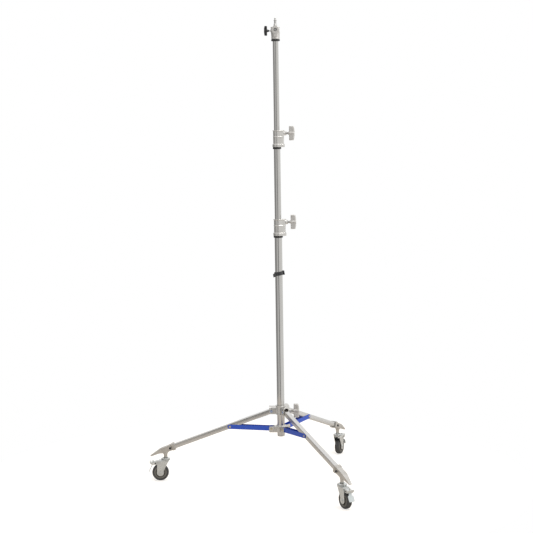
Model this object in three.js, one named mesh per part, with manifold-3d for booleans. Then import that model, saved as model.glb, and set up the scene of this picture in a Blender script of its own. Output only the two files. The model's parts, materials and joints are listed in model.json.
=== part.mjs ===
// A rolling combo light stand: a three-section telescopic column on a folding base of three braced legs,
// each on a braked swivel caster. Millimetres, +Z up. Heights are above the floor, and x and y are measured
// from the column's axis; the last lines move the origin to the floor under the middle of the stand's box.
import * as THREE from "three";
import { mergeVertices } from "three/addons/utils/BufferGeometryUtils.js";
import Module from "manifold-3d";

const wasm = await Module();
wasm.setup();

// Fits
const SEAT_GAP = 0.3; // between pieces that touch
const RUN_GAP = 0.4; // round a pin or a screw that turns
const SIDE_GAP = 0.8; // beside a leg or a wheel that swings between two cheeks

// Column sections
const BASE_OD = 40;
const TUBE_WALL = 1.5;
const TELESCOPE_GAP = 1; // between one section's bore and the next section
const RISER_1_OD = BASE_OD - 2 * (TUBE_WALL + TELESCOPE_GAP);
const RISER_2_OD = RISER_1_OD - 2 * (TUBE_WALL + TELESCOPE_GAP);
const BASE_LENGTH = 1127;
const RISER_LENGTH = 1100;
const RISER_1_RAISED = 466.8; // from the base tube's top to riser 1's top
const RISER_2_RAISED = 521.9; // from riser 1's top to riser 2's top
const BUSH_FLANGE = 14;
const BUSH_SPIGOT = 24;
const BUSH_WALL = 4;
const PLUG_RIM = 6;
const PLUG_SPIGOT = 18;

// Clamp collars on top of the base tube and of riser 1
const COLLAR_WALL = 2.4;
const COLLAR_GRIP = 55; // length that sits on the section below
const COLLAR_HEAD = 32.9; // length above it, round the section that slides
const COLLAR_FLANGE = 4; // how far the lower flange stands out
const COLLAR_FLANGE_HEIGHT = 15;
const COLLAR_LIP = 3; // the flared top edge
const LUG_REACH = 21.5; // from the tube's surface to the lug's flat end
const LUG_WIDTH = 27;
const BOSS_RADIUS = 11;
const BOSS_LENGTH = 12;
const BOSS_BELOW_TOP = 15.5; // the screw's axis under the collar's top
const RING_HEIGHT = 10.2;
const RING_WALL = 4.6;
const RING_TAPER = 2.8;

// Clamp screws and their T handles
const SCREW_RADIUS = 5;
const PAD_THICKNESS = 2.5;
const PAD_RADIUS = 4.9;
const T_HEIGHT = 76;
const T_DEPTH = 18;
const T_REACH = 31;
const T_STANDOFF = 13; // from the boss to the handle
const T_CORNER = 2.5;
const T_SHOULDER = 0.8; // of the handle's reach, where its bowed face starts
const T_BULGE = 1.1;
const T_FLAT = 0.84; // the handle's flat faces, as a part of its depth
const SOCKET_T_HEIGHT = 51;
const SOCKET_T_DEPTH = 14;
const SOCKET_T_REACH = 17;
const SOCKET_T_STANDOFF = 21;
const SOCKET_SCREW_RADIUS = 3.4;

// Socket with its folding pin
const SOCKET_BORE_RADIUS = 14.3;
const SOCKET_RIM_RADIUS = SOCKET_BORE_RADIUS + 7.95;
const SOCKET_FOOT_RADIUS = RISER_2_OD / 2 + 3.4;
const SOCKET_LIP = 1; // how far the rim stands out
const SOCKET_EDGE = 2; // rim's height
const SOCKET_RING_STEP = 2.6; // ring outside the socket's foot
const SOCKET_RING_EASE = 1.5;
const SOCKET_GRIP = 16; // length over riser 2
const SOCKET_FLOOR = 4;
const SOCKET_DEPTH = 42; // from the floor to the rim
const SOCKET_FLOOR_HOLE = 10;
const PIVOT_BELOW_RIM = 14.5;
const SCREW_BELOW_PIVOT = 4;
const PIVOT_LOBE_RADIUS = 18.5;
const PIVOT_LOBE_FACE = 23.5; // from the axis to the lobe's flat face
const PIVOT_RECESS_RADIUS = 8.4;
const PIVOT_RECESS_DEPTH = 6;
const PIVOT_BOLT_RADIUS = 3.5;
const PIVOT_HEAD_RADIUS = 6;
const PIN_RADIUS = 8;
const PIN_BASE_RADIUS = 8.9;
const PIN_NECK_RADIUS = 6.3;
const PIN_NECK_CONE = 2;
const PIN_FLARE = 4;
const PIN_SHOULDER = 5;
const PIN_EASE = 1;
const PIN_STUD_RADIUS = 4.75;
const PIN_RISE = 61.5; // from the pivot to the stud's tip
const PIN_STUD = 10.5;
const PIN_COLLAR = 4;
const PIN_NECK = 17;

// Legs, braces and the two spiders
const LEG_COUNT = 3;
const LEG_SIZE = 25;
const LEG_WALL = 1.6;
const LEG_CORNER = 2.5;
const LEG_SLOPE = THREE.MathUtils.degToRad(19.68);
const CASTER_CIRCLE = 625.3; // from the column's axis to the casters' swivel axes
const PIVOT_CIRCLE = 50.5; // from the column's axis to both spiders' hinge bolts
const SPIDER_DROP = 93.7; // from the upper hinges to the lower ones
const LEG_TAIL = 9.5; // leg inside its hinge bolt
const BRACE_JOIN = 238.9; // from the leg's hinge to the brace's rivet, along the leg
const BRACE_JOIN_DROP = 2.2;
const BRACE_HALF_HEIGHT = 12;
const BRACE_WALL = 2;
const BRACE_WEB_END = 168; // the brace's floor stops here, where the leg swings through
const HINGE_BOLT_RADIUS = 3.5;
const BOLT_HEAD_RADIUS = 6.5;
const BOLT_HEAD = 3.4;
const HUB_WALL = 6.5;
const UPPER_HUB_ABOVE = 30.3; // above the hinge
const UPPER_HUB_BELOW = 18.2;
const ARM_REACH = 11; // arm beyond the hinge
const ARM_BELOW = 15.2;
const ARM_SHOULDER = LEG_SIZE / 2;
const ARM_ARCH = 12.5;
const ARM_WALL = 3.2;
const SPIDER_BOSS_REACH = 36; // from the tube's surface to the boss's end
const LOWER_HUB_ABOVE = 18;
const LOWER_HUB_BELOW = 19.1;
const EAR_ABOVE = 12.5;
const EAR_BELOW = 20.5;
const EAR_REACH = 13.5;
const EAR_WALL = 4;
const EAR_CORNER = 6;
const COLUMN_BELOW_PIVOT = 43.7; // column's foot under the lower hinges

// Feet at the legs' ends
const FOOT_WALL = 2.2;
const FOOT_BAND_BEFORE = 55.5; // along the leg, from its band to its stem
const FOOT_BAND_LENGTH = 17;
const FOOT_BAND_STEP = 4;
const FOOT_SHOULDER_PAST = 22.5; // where the nose starts, along the leg from the stem
const FOOT_TIP_PAST = 89;
const FOOT_GRIP = 33; // leg inside the foot
const FOOT_TIP_WIDTH = 14;
const FOOT_BAND_CORNER = 3;
const FOOT_NOSE = { ease: 2.6, lowest: -9.5, low: -7, high: -4, highest: -3, chin: 13, cut: 5 };
const STEM_FLARE = 4;
const STEM_ROOT = 6; // flare's top under the leg's centreline
const STEM_TUBE_RADIUS = 9.6;
const STEM_RISE = 39.6; // from the stem tube's seat to the leg's centreline
const STEM_BORE_DEPTH = 24;

// Casters
const WHEEL_RADIUS = 45;
const WHEEL_WIDTH = 28;
const TYRE_SIDES = 24;
const TYRE_DEPTH = 11;
const HUB_SIDES = 16;
const TRAIL = 29; // from the swivel axis to the axle
const WHEEL_TO_CROWN = 17.3; // from the tyre to the fork's crown
const CROWN_THICKNESS = 4.5;
const CHEEK_THICKNESS = 2.5;
const CHEEK_RADIUS = 19; // round the axle, and ahead of the swivel axis at the crown
const CHEEK_EYE = 6.5; // round the brake's pin
const CROWN_TAIL = 6; // crown beyond the axle
const HEAD_RADIUS = 24.5;
const HEAD_HEIGHT = 12;
const COLLAR_HEIGHT = 5.5;
const STUD_RADIUS = 6;
const KINGPIN_RADIUS = 7;
const KINGPIN_HEAD_RADIUS = 11;
const KINGPIN_HEAD = 3.7;
const AXLE_RADIUS = 4;
const AXLE_HEAD_RADIUS = 7;
const BRAKE_WALL = 2;
const BRAKE_PIVOT = { ahead: 12.4, above: WHEEL_RADIUS + 3.5 }; // from the axle
const BRAKE_PIN_RADIUS = 2.5;
const BRAKE_PIN_PAST = 1.5; // pin beyond the fork
const BRAKE_ARM = [[-6, -1], [-2, -4.5], [8, -6], [32, -6], [42, 1], [45.5, 13], [42.5, 14], [38, 5.5],
  [4, 14], [-3, 12]]; // from the brake's pin, outwards and up
const BRAKE_HOLLOW = [[-9, -9], [32, -9], [33, -1], [30, 4], [4, 10.5], [-9, 9.5]];
const PEDAL = [[29, -4], [33, -16], [43, -34], [49, -46], [51.5, -45], [45.5, -33], [36, -15], [33, -4]];
const BRAKE_SHOE = { from: 9, to: 19, below: 5.5, above: 9 }; // from the brake's pin
const RELEASE = { out: 27, radius: 3.5, from: 4, to: 20 };
const HUB_BOSS_RADIUS = 18;
const HUB_BOSS_PAST = 0.8; // boss beyond the tyre's face
const HUB_WEB = 5; // half the web's thickness
const HUB_RIM_WALL = 8.5;
const TYRE_SHOULDER = 4;
const PEDAL_WIDTH = 36;
const CASTER_TURNS = [3, 1, 8].map(THREE.MathUtils.degToRad); // trail direction against each leg's

// Strap on the base tube
const STRAP_HEIGHT = 20;
const STRAP_THICKNESS = 2.6;
const STRAP_ABOVE_FOOT = 868;
const STRAP_BUCKLE = { reach: 9, width: 14, height: 23.5 };
const STRAP_TAIL = { reach: 11, thickness: 3, drop: 6 };

// Heights and places that follow from the sizes above
const AXLE_HEIGHT = WHEEL_RADIUS * Math.cos(Math.PI / TYRE_SIDES);
const CROWN_BOTTOM = AXLE_HEIGHT + WHEEL_RADIUS + WHEEL_TO_CROWN;
const CROWN_TOP = CROWN_BOTTOM + CROWN_THICKNESS;
const STEM_SEAT = CROWN_TOP + HEAD_HEIGHT + RUN_GAP + COLLAR_HEIGHT + SEAT_GAP;
const LEG_RUN = CASTER_CIRCLE - PIVOT_CIRCLE;
const STEM_ALONG = LEG_RUN / Math.cos(LEG_SLOPE); // along the leg from its hinge
const FOOT_BAND_START = STEM_ALONG - FOOT_BAND_BEFORE;
const FOOT_SHOULDER = STEM_ALONG + FOOT_SHOULDER_PAST;
const FOOT_TIP = STEM_ALONG + FOOT_TIP_PAST;
const UPPER_PIVOT = STEM_SEAT + STEM_RISE + LEG_RUN * Math.tan(LEG_SLOPE);
const LOWER_PIVOT = UPPER_PIVOT - SPIDER_DROP;
const COLUMN_FOOT = LOWER_PIVOT - COLUMN_BELOW_PIVOT;
const BASE_BOTTOM = COLUMN_FOOT + PLUG_RIM + SEAT_GAP;
const BASE_TOP = BASE_BOTTOM + BASE_LENGTH;
const RISER_1_TOP = BASE_TOP + RISER_1_RAISED;
const RISER_2_TOP = RISER_1_TOP + RISER_2_RAISED;
const SOCKET_BOTTOM = RISER_2_TOP - SOCKET_GRIP;
const SOCKET_RIM = RISER_2_TOP + SEAT_GAP + SOCKET_FLOOR + SOCKET_DEPTH;
const PIN_PIVOT = SOCKET_RIM - PIVOT_BELOW_RIM;
const CHEEK_ROOM = LEG_SIZE / 2 + SIDE_GAP; // half the room between two plates beside a leg
const BRACE_OUTSIDE = CHEEK_ROOM + BRACE_WALL;
const EAR_INSIDE = BRACE_OUTSIDE + RUN_GAP;
const FOOT_HALF = LEG_SIZE / 2 + SEAT_GAP + FOOT_WALL;
const FORK_INSIDE = WHEEL_WIDTH / 2 + 2;
const FORK_OUTSIDE = FORK_INSIDE + CHEEK_THICKNESS;

// Finishes
const STEEL = { color: 0xb4b2ae, roughness: 0.28, metalness: 1 };
const CAST = { color: 0xc4c2bc, roughness: 0.42, metalness: 0.9 };
const ZINC = { color: 0xb9c0bc, roughness: 0.4, metalness: 0.9 };
const BRASS = { color: 0xb09a62, roughness: 0.35, metalness: 1 };
const BLUE = { color: 0x2046be, roughness: 0.45, metalness: 0.1 };
const RUBBER = { color: 0x4a4a4a, roughness: 0.85, metalness: 0 };
const HUB_PLASTIC = { color: 0x7d786e, roughness: 0.6, metalness: 0 };
const BLACK = { color: 0x262626, roughness: 0.55, metalness: 0 };
const PEDAL_PAINT = { color: 0xc9d6d6, roughness: 0.45, metalness: 0.6 };

const MERGE = 1e-4;
const ROUND = 24;
const SMALL = 12;
const TINY = 8;

/** A closed geometry as a manifold-3d solid, with shared corners merged and empty triangles dropped. */
function solid(geometry) {
  const loose = geometry.index ? geometry.toNonIndexed() : geometry;
  const bare = new THREE.BufferGeometry();
  bare.setAttribute("position", loose.getAttribute("position"));
  const merged = mergeVertices(bare, MERGE);
  const corners = [];
  for (let i = 0; i < merged.index.count; i += 3) {
    const [a, b, c] = merged.index.array.slice(i, i + 3);
    if (a !== b && b !== c && c !== a) corners.push(a, b, c);
  }
  const vertProperties = merged.attributes.position.array;
  return new wasm.Manifold(new wasm.Mesh({ numProp: 3, vertProperties, triVerts: new Uint32Array(corners) }));
}

/** A manifold-3d solid as a three.js geometry. */
function geometryOf(body) {
  const surface = body.getMesh();
  const geometry = new THREE.BufferGeometry();
  geometry.setAttribute("position", new THREE.BufferAttribute(surface.vertProperties, 3));
  geometry.setIndex(new THREE.BufferAttribute(surface.triVerts, 1));
  geometry.computeVertexNormals();
  return geometry;
}

const joined = (...pieces) => geometryOf(pieces.map(solid).reduce((whole, piece) => whole.add(piece)));
const without = (left, tool) => left.subtract(tool);
const cut = (piece, ...tools) => geometryOf(tools.map(solid).reduce(without, solid(piece)));
const common = (a, b) => geometryOf(solid(a).intersect(solid(b)));

/** A box between two corners, each [x, y, z]. */
function block(low, high) {
  const size = high.map((value, axis) => value - low[axis]);
  const middle = high.map((value, axis) => (value + low[axis]) / 2);
  return new THREE.BoxGeometry(...size).translate(...middle);
}

/** A solid of revolution about +Z from [radius, height] points that run up its outside. */
function turned(points, sides = ROUND) {
  const profile = points.map(([radius, height]) => new THREE.Vector2(radius, height));
  return new THREE.LatheGeometry(profile, sides, Math.PI / sides).rotateX(Math.PI / 2);
}

/** A ring about +Z from [radius, height] points; the profile closes on itself. */
const ring = (points, sides = ROUND) => turned([...points, points[0]], sides);

function rod(radius, from, to, sides = SMALL) {
  return turned([[0, from], [radius, from], [radius, to], [0, to]], sides);
}
const alongX = (geometry) => geometry.rotateY(Math.PI / 2);
const alongY = (geometry) => geometry.rotateX(-Math.PI / 2);

const outlineOf = (points) => new THREE.Shape(points.map(([x, y]) => new THREE.Vector2(x, y)));

/** An outline in x and z, made solid across y between -half and +half. */
function upright(outline, half, curveSegments = 4) {
  const options = { depth: 2 * half, bevelEnabled: false, curveSegments };
  return new THREE.ExtrudeGeometry(outline, options).translate(0, 0, -half).rotateX(Math.PI / 2);
}

/** An outline in x and y, made solid between two heights. */
function level(outline, from, to, curveSegments = 7) {
  const options = { depth: to - from, bevelEnabled: false, curveSegments };
  return new THREE.ExtrudeGeometry(outline, options).translate(0, 0, from);
}

/** A headed pin across y: a shank with a head beyond each of its two faces. */
function crossBolt(shank, head, headThickness, face, sides = TINY) {
  const inner = face + SEAT_GAP;
  const outer = inner + headThickness;
  const half = [[shank, inner], [head, inner], [head, outer], [0, outer]];
  const other = half.map(([radius, height]) => [radius, -height]).reverse();
  return alongY(turned([...other, ...half], sides));
}

/** A named mesh in a group, at a place and a turn about Y. */
function add(group, name, geometry, finish, place = [0, 0, 0], tilt = 0) {
  const mesh = new THREE.Mesh(geometry, new THREE.MeshStandardMaterial(finish));
  mesh.name = name;
  mesh.position.set(...place);
  mesh.rotation.y = tilt;
  group.add(mesh);
  return mesh;
}

/** A straight tube standing from 0 to its length. */
function tube(od, length) {
  const outer = od / 2;
  const inner = outer - TUBE_WALL;
  return ring([[inner, 0], [outer, 0], [outer, length], [inner, length]]);
}

/** The bush at a riser's lower end: a flange that guides in the section outside it, and a spigot. */
function bush(od, outsideOd) {
  const spigot = od / 2 - TUBE_WALL - SEAT_GAP;
  const flange = outsideOd / 2 - TUBE_WALL - SEAT_GAP;
  const bore = spigot - BUSH_WALL;
  const top = BUSH_FLANGE + BUSH_SPIGOT;
  const step = BUSH_FLANGE;
  const profile = [[bore, 0], [flange, 0], [flange, step], [spigot, step], [spigot, top], [bore, top]];
  return ring(profile, SMALL);
}

/** The plug that closes the column's foot. */
function endPlug() {
  const spigot = BASE_OD / 2 - TUBE_WALL - SEAT_GAP;
  const rim = BASE_OD / 2;
  const top = PLUG_RIM + PLUG_SPIGOT;
  const ease = PLUG_RIM / 3;
  return turned([[0, 0], [rim - ease, 0], [rim, ease], [rim, PLUG_RIM], [spigot, PLUG_RIM], [spigot, top],
    [0, top]]);
}

/** A collar in plan: round the axis, with a lug out along +X whose corners are cut off. */
function lugPlan(radius, reach, halfWidth) {
  const corner = halfWidth / 3;
  const far = Math.hypot(reach - corner, halfWidth);
  const meets = Math.atan2(halfWidth, reach - corner) + Math.acos(radius / far);
  const plan = new THREE.Shape();
  plan.absarc(0, 0, radius, meets, 2 * Math.PI - meets);
  plan.lineTo(reach - corner, -halfWidth);
  plan.lineTo(reach, corner - halfWidth);
  plan.lineTo(reach, halfWidth - corner);
  plan.lineTo(reach - corner, halfWidth);
  return plan;
}

const lugEnd = (lowerOd) => lowerOd / 2 + LUG_REACH;
const bossEnd = (lowerOd) => lugEnd(lowerOd) + BOSS_LENGTH;

/** A cast clamp collar, from its step: its grip is below on one section, its head above round the next. */
function collar(lowerOd, upperOd) {
  const body = lowerOd / 2 + COLLAR_WALL;
  const reach = lugEnd(lowerOd);
  const screw = COLLAR_HEAD - BOSS_BELOW_TOP;
  const barrel = level(lugPlan(body, reach - 2, LUG_WIDTH / 2), -COLLAR_GRIP, COLLAR_HEAD);
  const flangeTop = COLLAR_FLANGE_HEIGHT - COLLAR_GRIP;
  const flange = level(lugPlan(body + COLLAR_FLANGE, reach + 2, LUG_WIDTH / 2 + 2), -COLLAR_GRIP, flangeTop);
  const lip = level(lugPlan(body + 2, reach, LUG_WIDTH / 2 + 1), COLLAR_HEAD - COLLAR_LIP, COLLAR_HEAD);
  const boss = alongX(rod(BOSS_RADIUS, 0, bossEnd(lowerOd))).translate(0, 0, screw);
  const past = 1;
  const grip = rod(lowerOd / 2 + SEAT_GAP, -COLLAR_GRIP - past, 0, ROUND);
  const head = rod(upperOd / 2 + SEAT_GAP, -past, COLLAR_HEAD + past, ROUND);
  const thread = alongX(rod(SCREW_RADIUS + RUN_GAP, 0, bossEnd(lowerOd) + past)).translate(0, 0, screw);
  return cut(joined(barrel, flange, lip, boss), grip, head, thread);
}

/** The plastic ring under a collar, from its top down. */
function collarRing(od) {
  const inner = od / 2 + SEAT_GAP;
  const outer = inner + RING_WALL;
  const foot = outer - RING_TAPER;
  const cone = RING_HEIGHT / 5;
  return ring([[inner, -RING_HEIGHT], [foot, -RING_HEIGHT], [outer, cone - RING_HEIGHT], [outer, 0],
    [inner, 0]]);
}

/** The pad that a clamp screw presses on a tube, along +X. */
function pad(od) {
  const face = od / 2 + SEAT_GAP;
  return alongX(rod(PAD_RADIUS, face, face + PAD_THICKNESS, TINY));
}

/** A cast T handle in x and z: straight inside, bowed outside, as tall as it says. */
function handleOutline(inside, reach, height) {
  const half = height / 2;
  const shoulder = inside + T_SHOULDER * reach;
  const outline = new THREE.Shape();
  outline.moveTo(inside, T_CORNER - half);
  outline.lineTo(inside + T_CORNER, -half);
  outline.lineTo(shoulder, -half + 1);
  outline.quadraticCurveTo(inside + T_BULGE * reach, 0, shoulder, half - 1);
  outline.lineTo(inside + T_CORNER, half);
  outline.lineTo(inside, half - T_CORNER);
  return outline;
}

/** A clamp screw with its T handle, along +X: from the pad it presses, through its boss, to the handle. */
function tKnob({ tip, boss, standoff, reach, height, depth, screw }) {
  const inside = boss + standoff;
  const neck = boss + RUN_GAP + 1;
  const hubEnd = inside + 0.9 * reach;
  const hub = turned([[0, tip], [screw, tip], [screw, neck], [screw + 1, neck], [depth / 2, inside + 1],
    [depth / 2, hubEnd], [0, hubEnd]], SMALL);
  return joined(alongX(hub), upright(handleOutline(inside, reach, height), (depth * T_FLAT) / 2));
}

/** The clamp screw of a collar, or of the sliding spider. */
function clampKnob(od, boss) {
  const tip = od / 2 + 2 * SEAT_GAP + PAD_THICKNESS;
  const sizes = { reach: T_REACH, height: T_HEIGHT, depth: T_DEPTH, screw: SCREW_RADIUS };
  return tKnob({ tip, boss, standoff: T_STANDOFF, ...sizes });
}

/** The strap round the base tube, with its buckle on +X and its tail on -X. */
function strap() {
  const inner = BASE_OD / 2 + SEAT_GAP;
  const outer = inner + STRAP_THICKNESS;
  const half = STRAP_HEIGHT / 2;
  const loop = ring([[inner, -half], [outer, -half], [outer, half], [inner, half]]);
  const { reach, width, height } = STRAP_BUCKLE;
  const buckle = block([inner + 1, -width / 2, 2 - height / 2], [outer + reach, width / 2, 2 + height / 2]);
  const tailLow = -half - STRAP_TAIL.drop;
  const tailFrom = -outer - STRAP_TAIL.reach;
  const side = STRAP_TAIL.thickness;
  const tail = block([tailFrom, -side, tailLow], [-inner - 1, side, half / 2]);
  const wedge = outlineOf([[-inner, half], [tailFrom, tailLow + half], [tailFrom, tailLow], [-inner, -half]]);
  return joined(loop, buckle, common(tail, upright(wedge, outer)));
}

/** The socket on top of riser 2, from its lower edge: a bore with lobes for the pin's hinge and a slot. */
function socket() {
  const rim = SOCKET_RIM - SOCKET_BOTTOM;
  const pivot = PIN_PIVOT - SOCKET_BOTTOM;
  const floor = SOCKET_GRIP + SEAT_GAP;
  const waist = (SOCKET_FOOT_RADIUS + SOCKET_RIM_RADIUS) / 2;
  const under = SOCKET_RIM_RADIUS - SOCKET_LIP;
  const foot = SOCKET_FOOT_RADIUS;
  const edge = rim - SOCKET_EDGE;
  const body = turned([[0, 0], [foot, 0], [foot, SOCKET_GRIP / 2], [waist, rim / 2], [under, edge],
    [SOCKET_RIM_RADIUS, edge], [SOCKET_RIM_RADIUS, rim], [0, rim]]);
  const face = PIVOT_LOBE_FACE;
  const lobe = alongY(rod(PIVOT_LOBE_RADIUS, -face, face, ROUND)).translate(0, 0, pivot);
  const bore = rod(SOCKET_BORE_RADIUS, floor + SOCKET_FLOOR, rim + PIVOT_LOBE_RADIUS, ROUND);
  const grip = rod(RISER_2_OD / 2 + SEAT_GAP, -1, floor, ROUND);
  const drain = rod(SOCKET_FLOOR_HOLE, 0, rim, SMALL);
  const slotHalf = PIN_BASE_RADIUS + SIDE_GAP;
  const slotTop = rim + PIVOT_LOBE_RADIUS;
  const slot = block([0, -slotHalf, pivot - slotHalf], [SOCKET_RIM_RADIUS + 2, slotHalf, slotTop]);
  const bolt = alongY(rod(PIVOT_BOLT_RADIUS + SEAT_GAP, -face - 1, face + 1)).translate(0, 0, pivot);
  const recessFrom = face - PIVOT_RECESS_DEPTH;
  const front = alongY(rod(PIVOT_RECESS_RADIUS, -face - 1, -recessFrom)).translate(0, 0, pivot);
  const back = alongY(rod(PIVOT_RECESS_RADIUS, recessFrom, face + 1)).translate(0, 0, pivot);
  const screwHole = rod(SOCKET_SCREW_RADIUS + RUN_GAP, -SOCKET_RIM_RADIUS - 2, 0, SMALL);
  const thread = alongX(screwHole).translate(0, 0, pivot - SCREW_BELOW_PIVOT);
  return cut(joined(body, lobe), bore, grip, drain, slot, bolt, front, back, thread);
}

/** The baby pin, from its pivot: a round end in the socket, a necked pin and a stud. */
function babyPin() {
  const studFoot = PIN_RISE - PIN_STUD;
  const neckTop = studFoot - PIN_COLLAR;
  const neckFoot = neckTop - PIN_NECK;
  const r = PIN_RADIUS;
  const end = [Math.PI / 6, Math.PI / 3].map((angle) => [r * Math.sin(angle), -r * Math.cos(angle)]);
  const rim = PIVOT_BELOW_RIM;
  const profile = [[0, -r], ...end, [r, 0], [r, rim], [PIN_BASE_RADIUS, rim + PIN_FLARE],
    [PIN_BASE_RADIUS, neckFoot - PIN_SHOULDER], [r, neckFoot], [PIN_NECK_RADIUS, neckFoot + PIN_NECK_CONE],
    [PIN_NECK_RADIUS, neckTop - PIN_NECK_CONE], [r, neckTop], [r, studFoot], [PIN_STUD_RADIUS, studFoot],
    [PIN_STUD_RADIUS, PIN_RISE - PIN_EASE], [PIN_STUD_RADIUS - PIN_EASE, PIN_RISE], [0, PIN_RISE]];
  const hole = alongY(rod(PIVOT_BOLT_RADIUS + RUN_GAP, -r - 1, r + 1));
  return cut(turned(profile, SMALL), hole);
}

/** The hinge bolt of the pin, with its heads in the lobes' recesses. */
function pinHingeBolt() {
  const bottom = PIVOT_LOBE_FACE - PIVOT_RECESS_DEPTH;
  return crossBolt(PIVOT_BOLT_RADIUS, PIVOT_HEAD_RADIUS, PIVOT_RECESS_DEPTH - 2, bottom, SMALL);
}

/** The screw that holds the pin up, along -X, with its small T handle. */
function socketKnob() {
  const tip = PIN_RADIUS + SEAT_GAP;
  const boss = SOCKET_RIM_RADIUS;
  const handle = { reach: SOCKET_T_REACH, height: SOCKET_T_HEIGHT, depth: SOCKET_T_DEPTH };
  const sizes = { standoff: SOCKET_T_STANDOFF, screw: SOCKET_SCREW_RADIUS, ...handle };
  return tKnob({ tip, boss, ...sizes }).rotateZ(Math.PI);
}

/** The ring under the socket, from its top down. */
function socketRing() {
  const inner = RISER_2_OD / 2 + SEAT_GAP;
  const outer = SOCKET_FOOT_RADIUS + SOCKET_RING_STEP;
  const ease = SOCKET_RING_EASE;
  const drop = RING_HEIGHT;
  return ring([[inner, -drop], [outer - 2 * ease, -drop], [outer, 2 * ease - drop], [outer, -ease],
    [outer - ease, 0], [inner, 0]]);
}

/** The same solid turned to each leg's direction, joined into one. */
function threeWay(makeArm) {
  const arms = legAngles().map((angle) => makeArm().rotateZ(angle));
  return joined(...arms);
}

function legAngles() {
  return Array.from({ length: LEG_COUNT }, (_, n) => Math.PI + (n * 2 * Math.PI) / LEG_COUNT);
}

/** An arm's section in y and z from its hinge, arched on top, and open below where it says. */
function archSection(half, bottom, shoulder, arch) {
  const section = new THREE.Shape();
  section.moveTo(-half, bottom);
  section.lineTo(half, bottom);
  section.lineTo(half, shoulder);
  section.absellipse(0, shoulder, half, arch, 0, Math.PI);
  return section;
}

/** A section in y and z made solid along x. */
function alongArm(section, from, to) {
  const options = { depth: to - from, bevelEnabled: false, curveSegments: 3 };
  const stood = new THREE.ExtrudeGeometry(section, options).translate(0, 0, from);
  return stood.rotateY(Math.PI / 2).rotateX(Math.PI / 2);
}

/** A hinge bolt's hole across an arm or a pair of ears that is so wide outside. */
function hingeHole(outside) {
  const past = outside + 1;
  return alongY(rod(HINGE_BOLT_RADIUS + RUN_GAP, -past, past)).translate(PIVOT_CIRCLE, 0, 0);
}

/** The sliding spider, from its hinges' height: a hub with three arched arms, open below and outside. */
function upperSpider() {
  const bore = BASE_OD / 2 + RUN_GAP;
  const hub = bore + HUB_WALL;
  const reach = PIVOT_CIRCLE + ARM_REACH;
  const outside = CHEEK_ROOM + ARM_WALL;
  const arch = archSection(outside, -ARM_BELOW, ARM_SHOULDER, ARM_ARCH + ARM_WALL);
  const room = archSection(CHEEK_ROOM, -ARM_BELOW - CHEEK_ROOM, ARM_SHOULDER, ARM_ARCH);
  const arm = () => alongArm(arch, hub / 2, reach);
  const pocket = () => alongArm(room, hub + ARM_WALL, reach + 1);
  const hole = () => hingeHole(outside);
  const barrel = rod(hub, -UPPER_HUB_BELOW, UPPER_HUB_ABOVE, ROUND);
  const boss = alongX(rod(BOSS_RADIUS, 0, spiderBossEnd()));
  const slide = rod(bore, -UPPER_HUB_BELOW - 1, UPPER_HUB_ABOVE + 1, ROUND);
  const thread = alongX(rod(SCREW_RADIUS + RUN_GAP, 0, spiderBossEnd() + 1));
  return cut(joined(barrel, threeWay(arm), boss), slide, thread, threeWay(pocket), threeWay(hole));
}

const spiderBossEnd = () => BASE_OD / 2 + SPIDER_BOSS_REACH;

/** An ear's outline in x and z from its hinge, with two round outer corners. */
function earOutline(from) {
  const ear = new THREE.Shape();
  ear.moveTo(from - PIVOT_CIRCLE, -EAR_BELOW);
  ear.lineTo(EAR_REACH - EAR_CORNER, -EAR_BELOW);
  ear.absarc(EAR_REACH - EAR_CORNER, EAR_CORNER - EAR_BELOW, EAR_CORNER, -Math.PI / 2, 0);
  ear.absarc(EAR_REACH - EAR_CORNER, EAR_ABOVE - EAR_CORNER, EAR_CORNER, 0, Math.PI / 2);
  ear.lineTo(from - PIVOT_CIRCLE, EAR_ABOVE);
  return ear;
}

/** The fixed spider, from its hinges' height: a hub with three pairs of ears that hold the braces. */
function lowerSpider() {
  const bore = BASE_OD / 2 + SEAT_GAP;
  const hub = bore + HUB_WALL;
  const outside = EAR_INSIDE + EAR_WALL;
  const slotFrom = PIVOT_CIRCLE - BRACE_HALF_HEIGHT - 3;
  const arm = () => upright(earOutline(hub / 2), outside, 1).translate(PIVOT_CIRCLE, 0, 0);
  const slotLow = [slotFrom, -EAR_INSIDE, -EAR_BELOW - 1];
  const slotHigh = [PIVOT_CIRCLE + EAR_REACH + 1, EAR_INSIDE, EAR_ABOVE + 1];
  const hole = () => hingeHole(outside);
  const barrel = rod(hub, -LOWER_HUB_BELOW, LOWER_HUB_ABOVE, ROUND);
  const seat = rod(bore, -EAR_BELOW - 1, LOWER_HUB_ABOVE + 1, ROUND);
  return cut(joined(barrel, threeWay(arm)), seat, threeWay(() => block(slotLow, slotHigh)), threeWay(hole));
}

/** A leg along +X from its hinge: a square tube with a hole for its hinge bolt. */
function leg() {
  const outside = squareOutline(LEG_SIZE / 2, LEG_CORNER);
  outside.holes.push(squareOutline(LEG_SIZE / 2 - LEG_WALL, LEG_CORNER - LEG_WALL));
  const length = FOOT_BAND_START + FOOT_GRIP;
  const hole = alongY(rod(HINGE_BOLT_RADIUS + RUN_GAP, -LEG_SIZE, LEG_SIZE));
  const options = { depth: LEG_TAIL + length, bevelEnabled: false, curveSegments: 1 };
  const bar = alongX(new THREE.ExtrudeGeometry(outside, options).translate(0, 0, -LEG_TAIL));
  return cut(bar, hole);
}

function squareOutline(half, corner) {
  const square = new THREE.Shape();
  const inset = half - corner;
  square.absarc(inset, inset, corner, 0, Math.PI / 2);
  square.absarc(-inset, inset, corner, Math.PI / 2, Math.PI);
  square.absarc(-inset, -inset, corner, Math.PI, 1.5 * Math.PI);
  square.absarc(inset, -inset, corner, 1.5 * Math.PI, 2 * Math.PI);
  return square;
}

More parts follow.
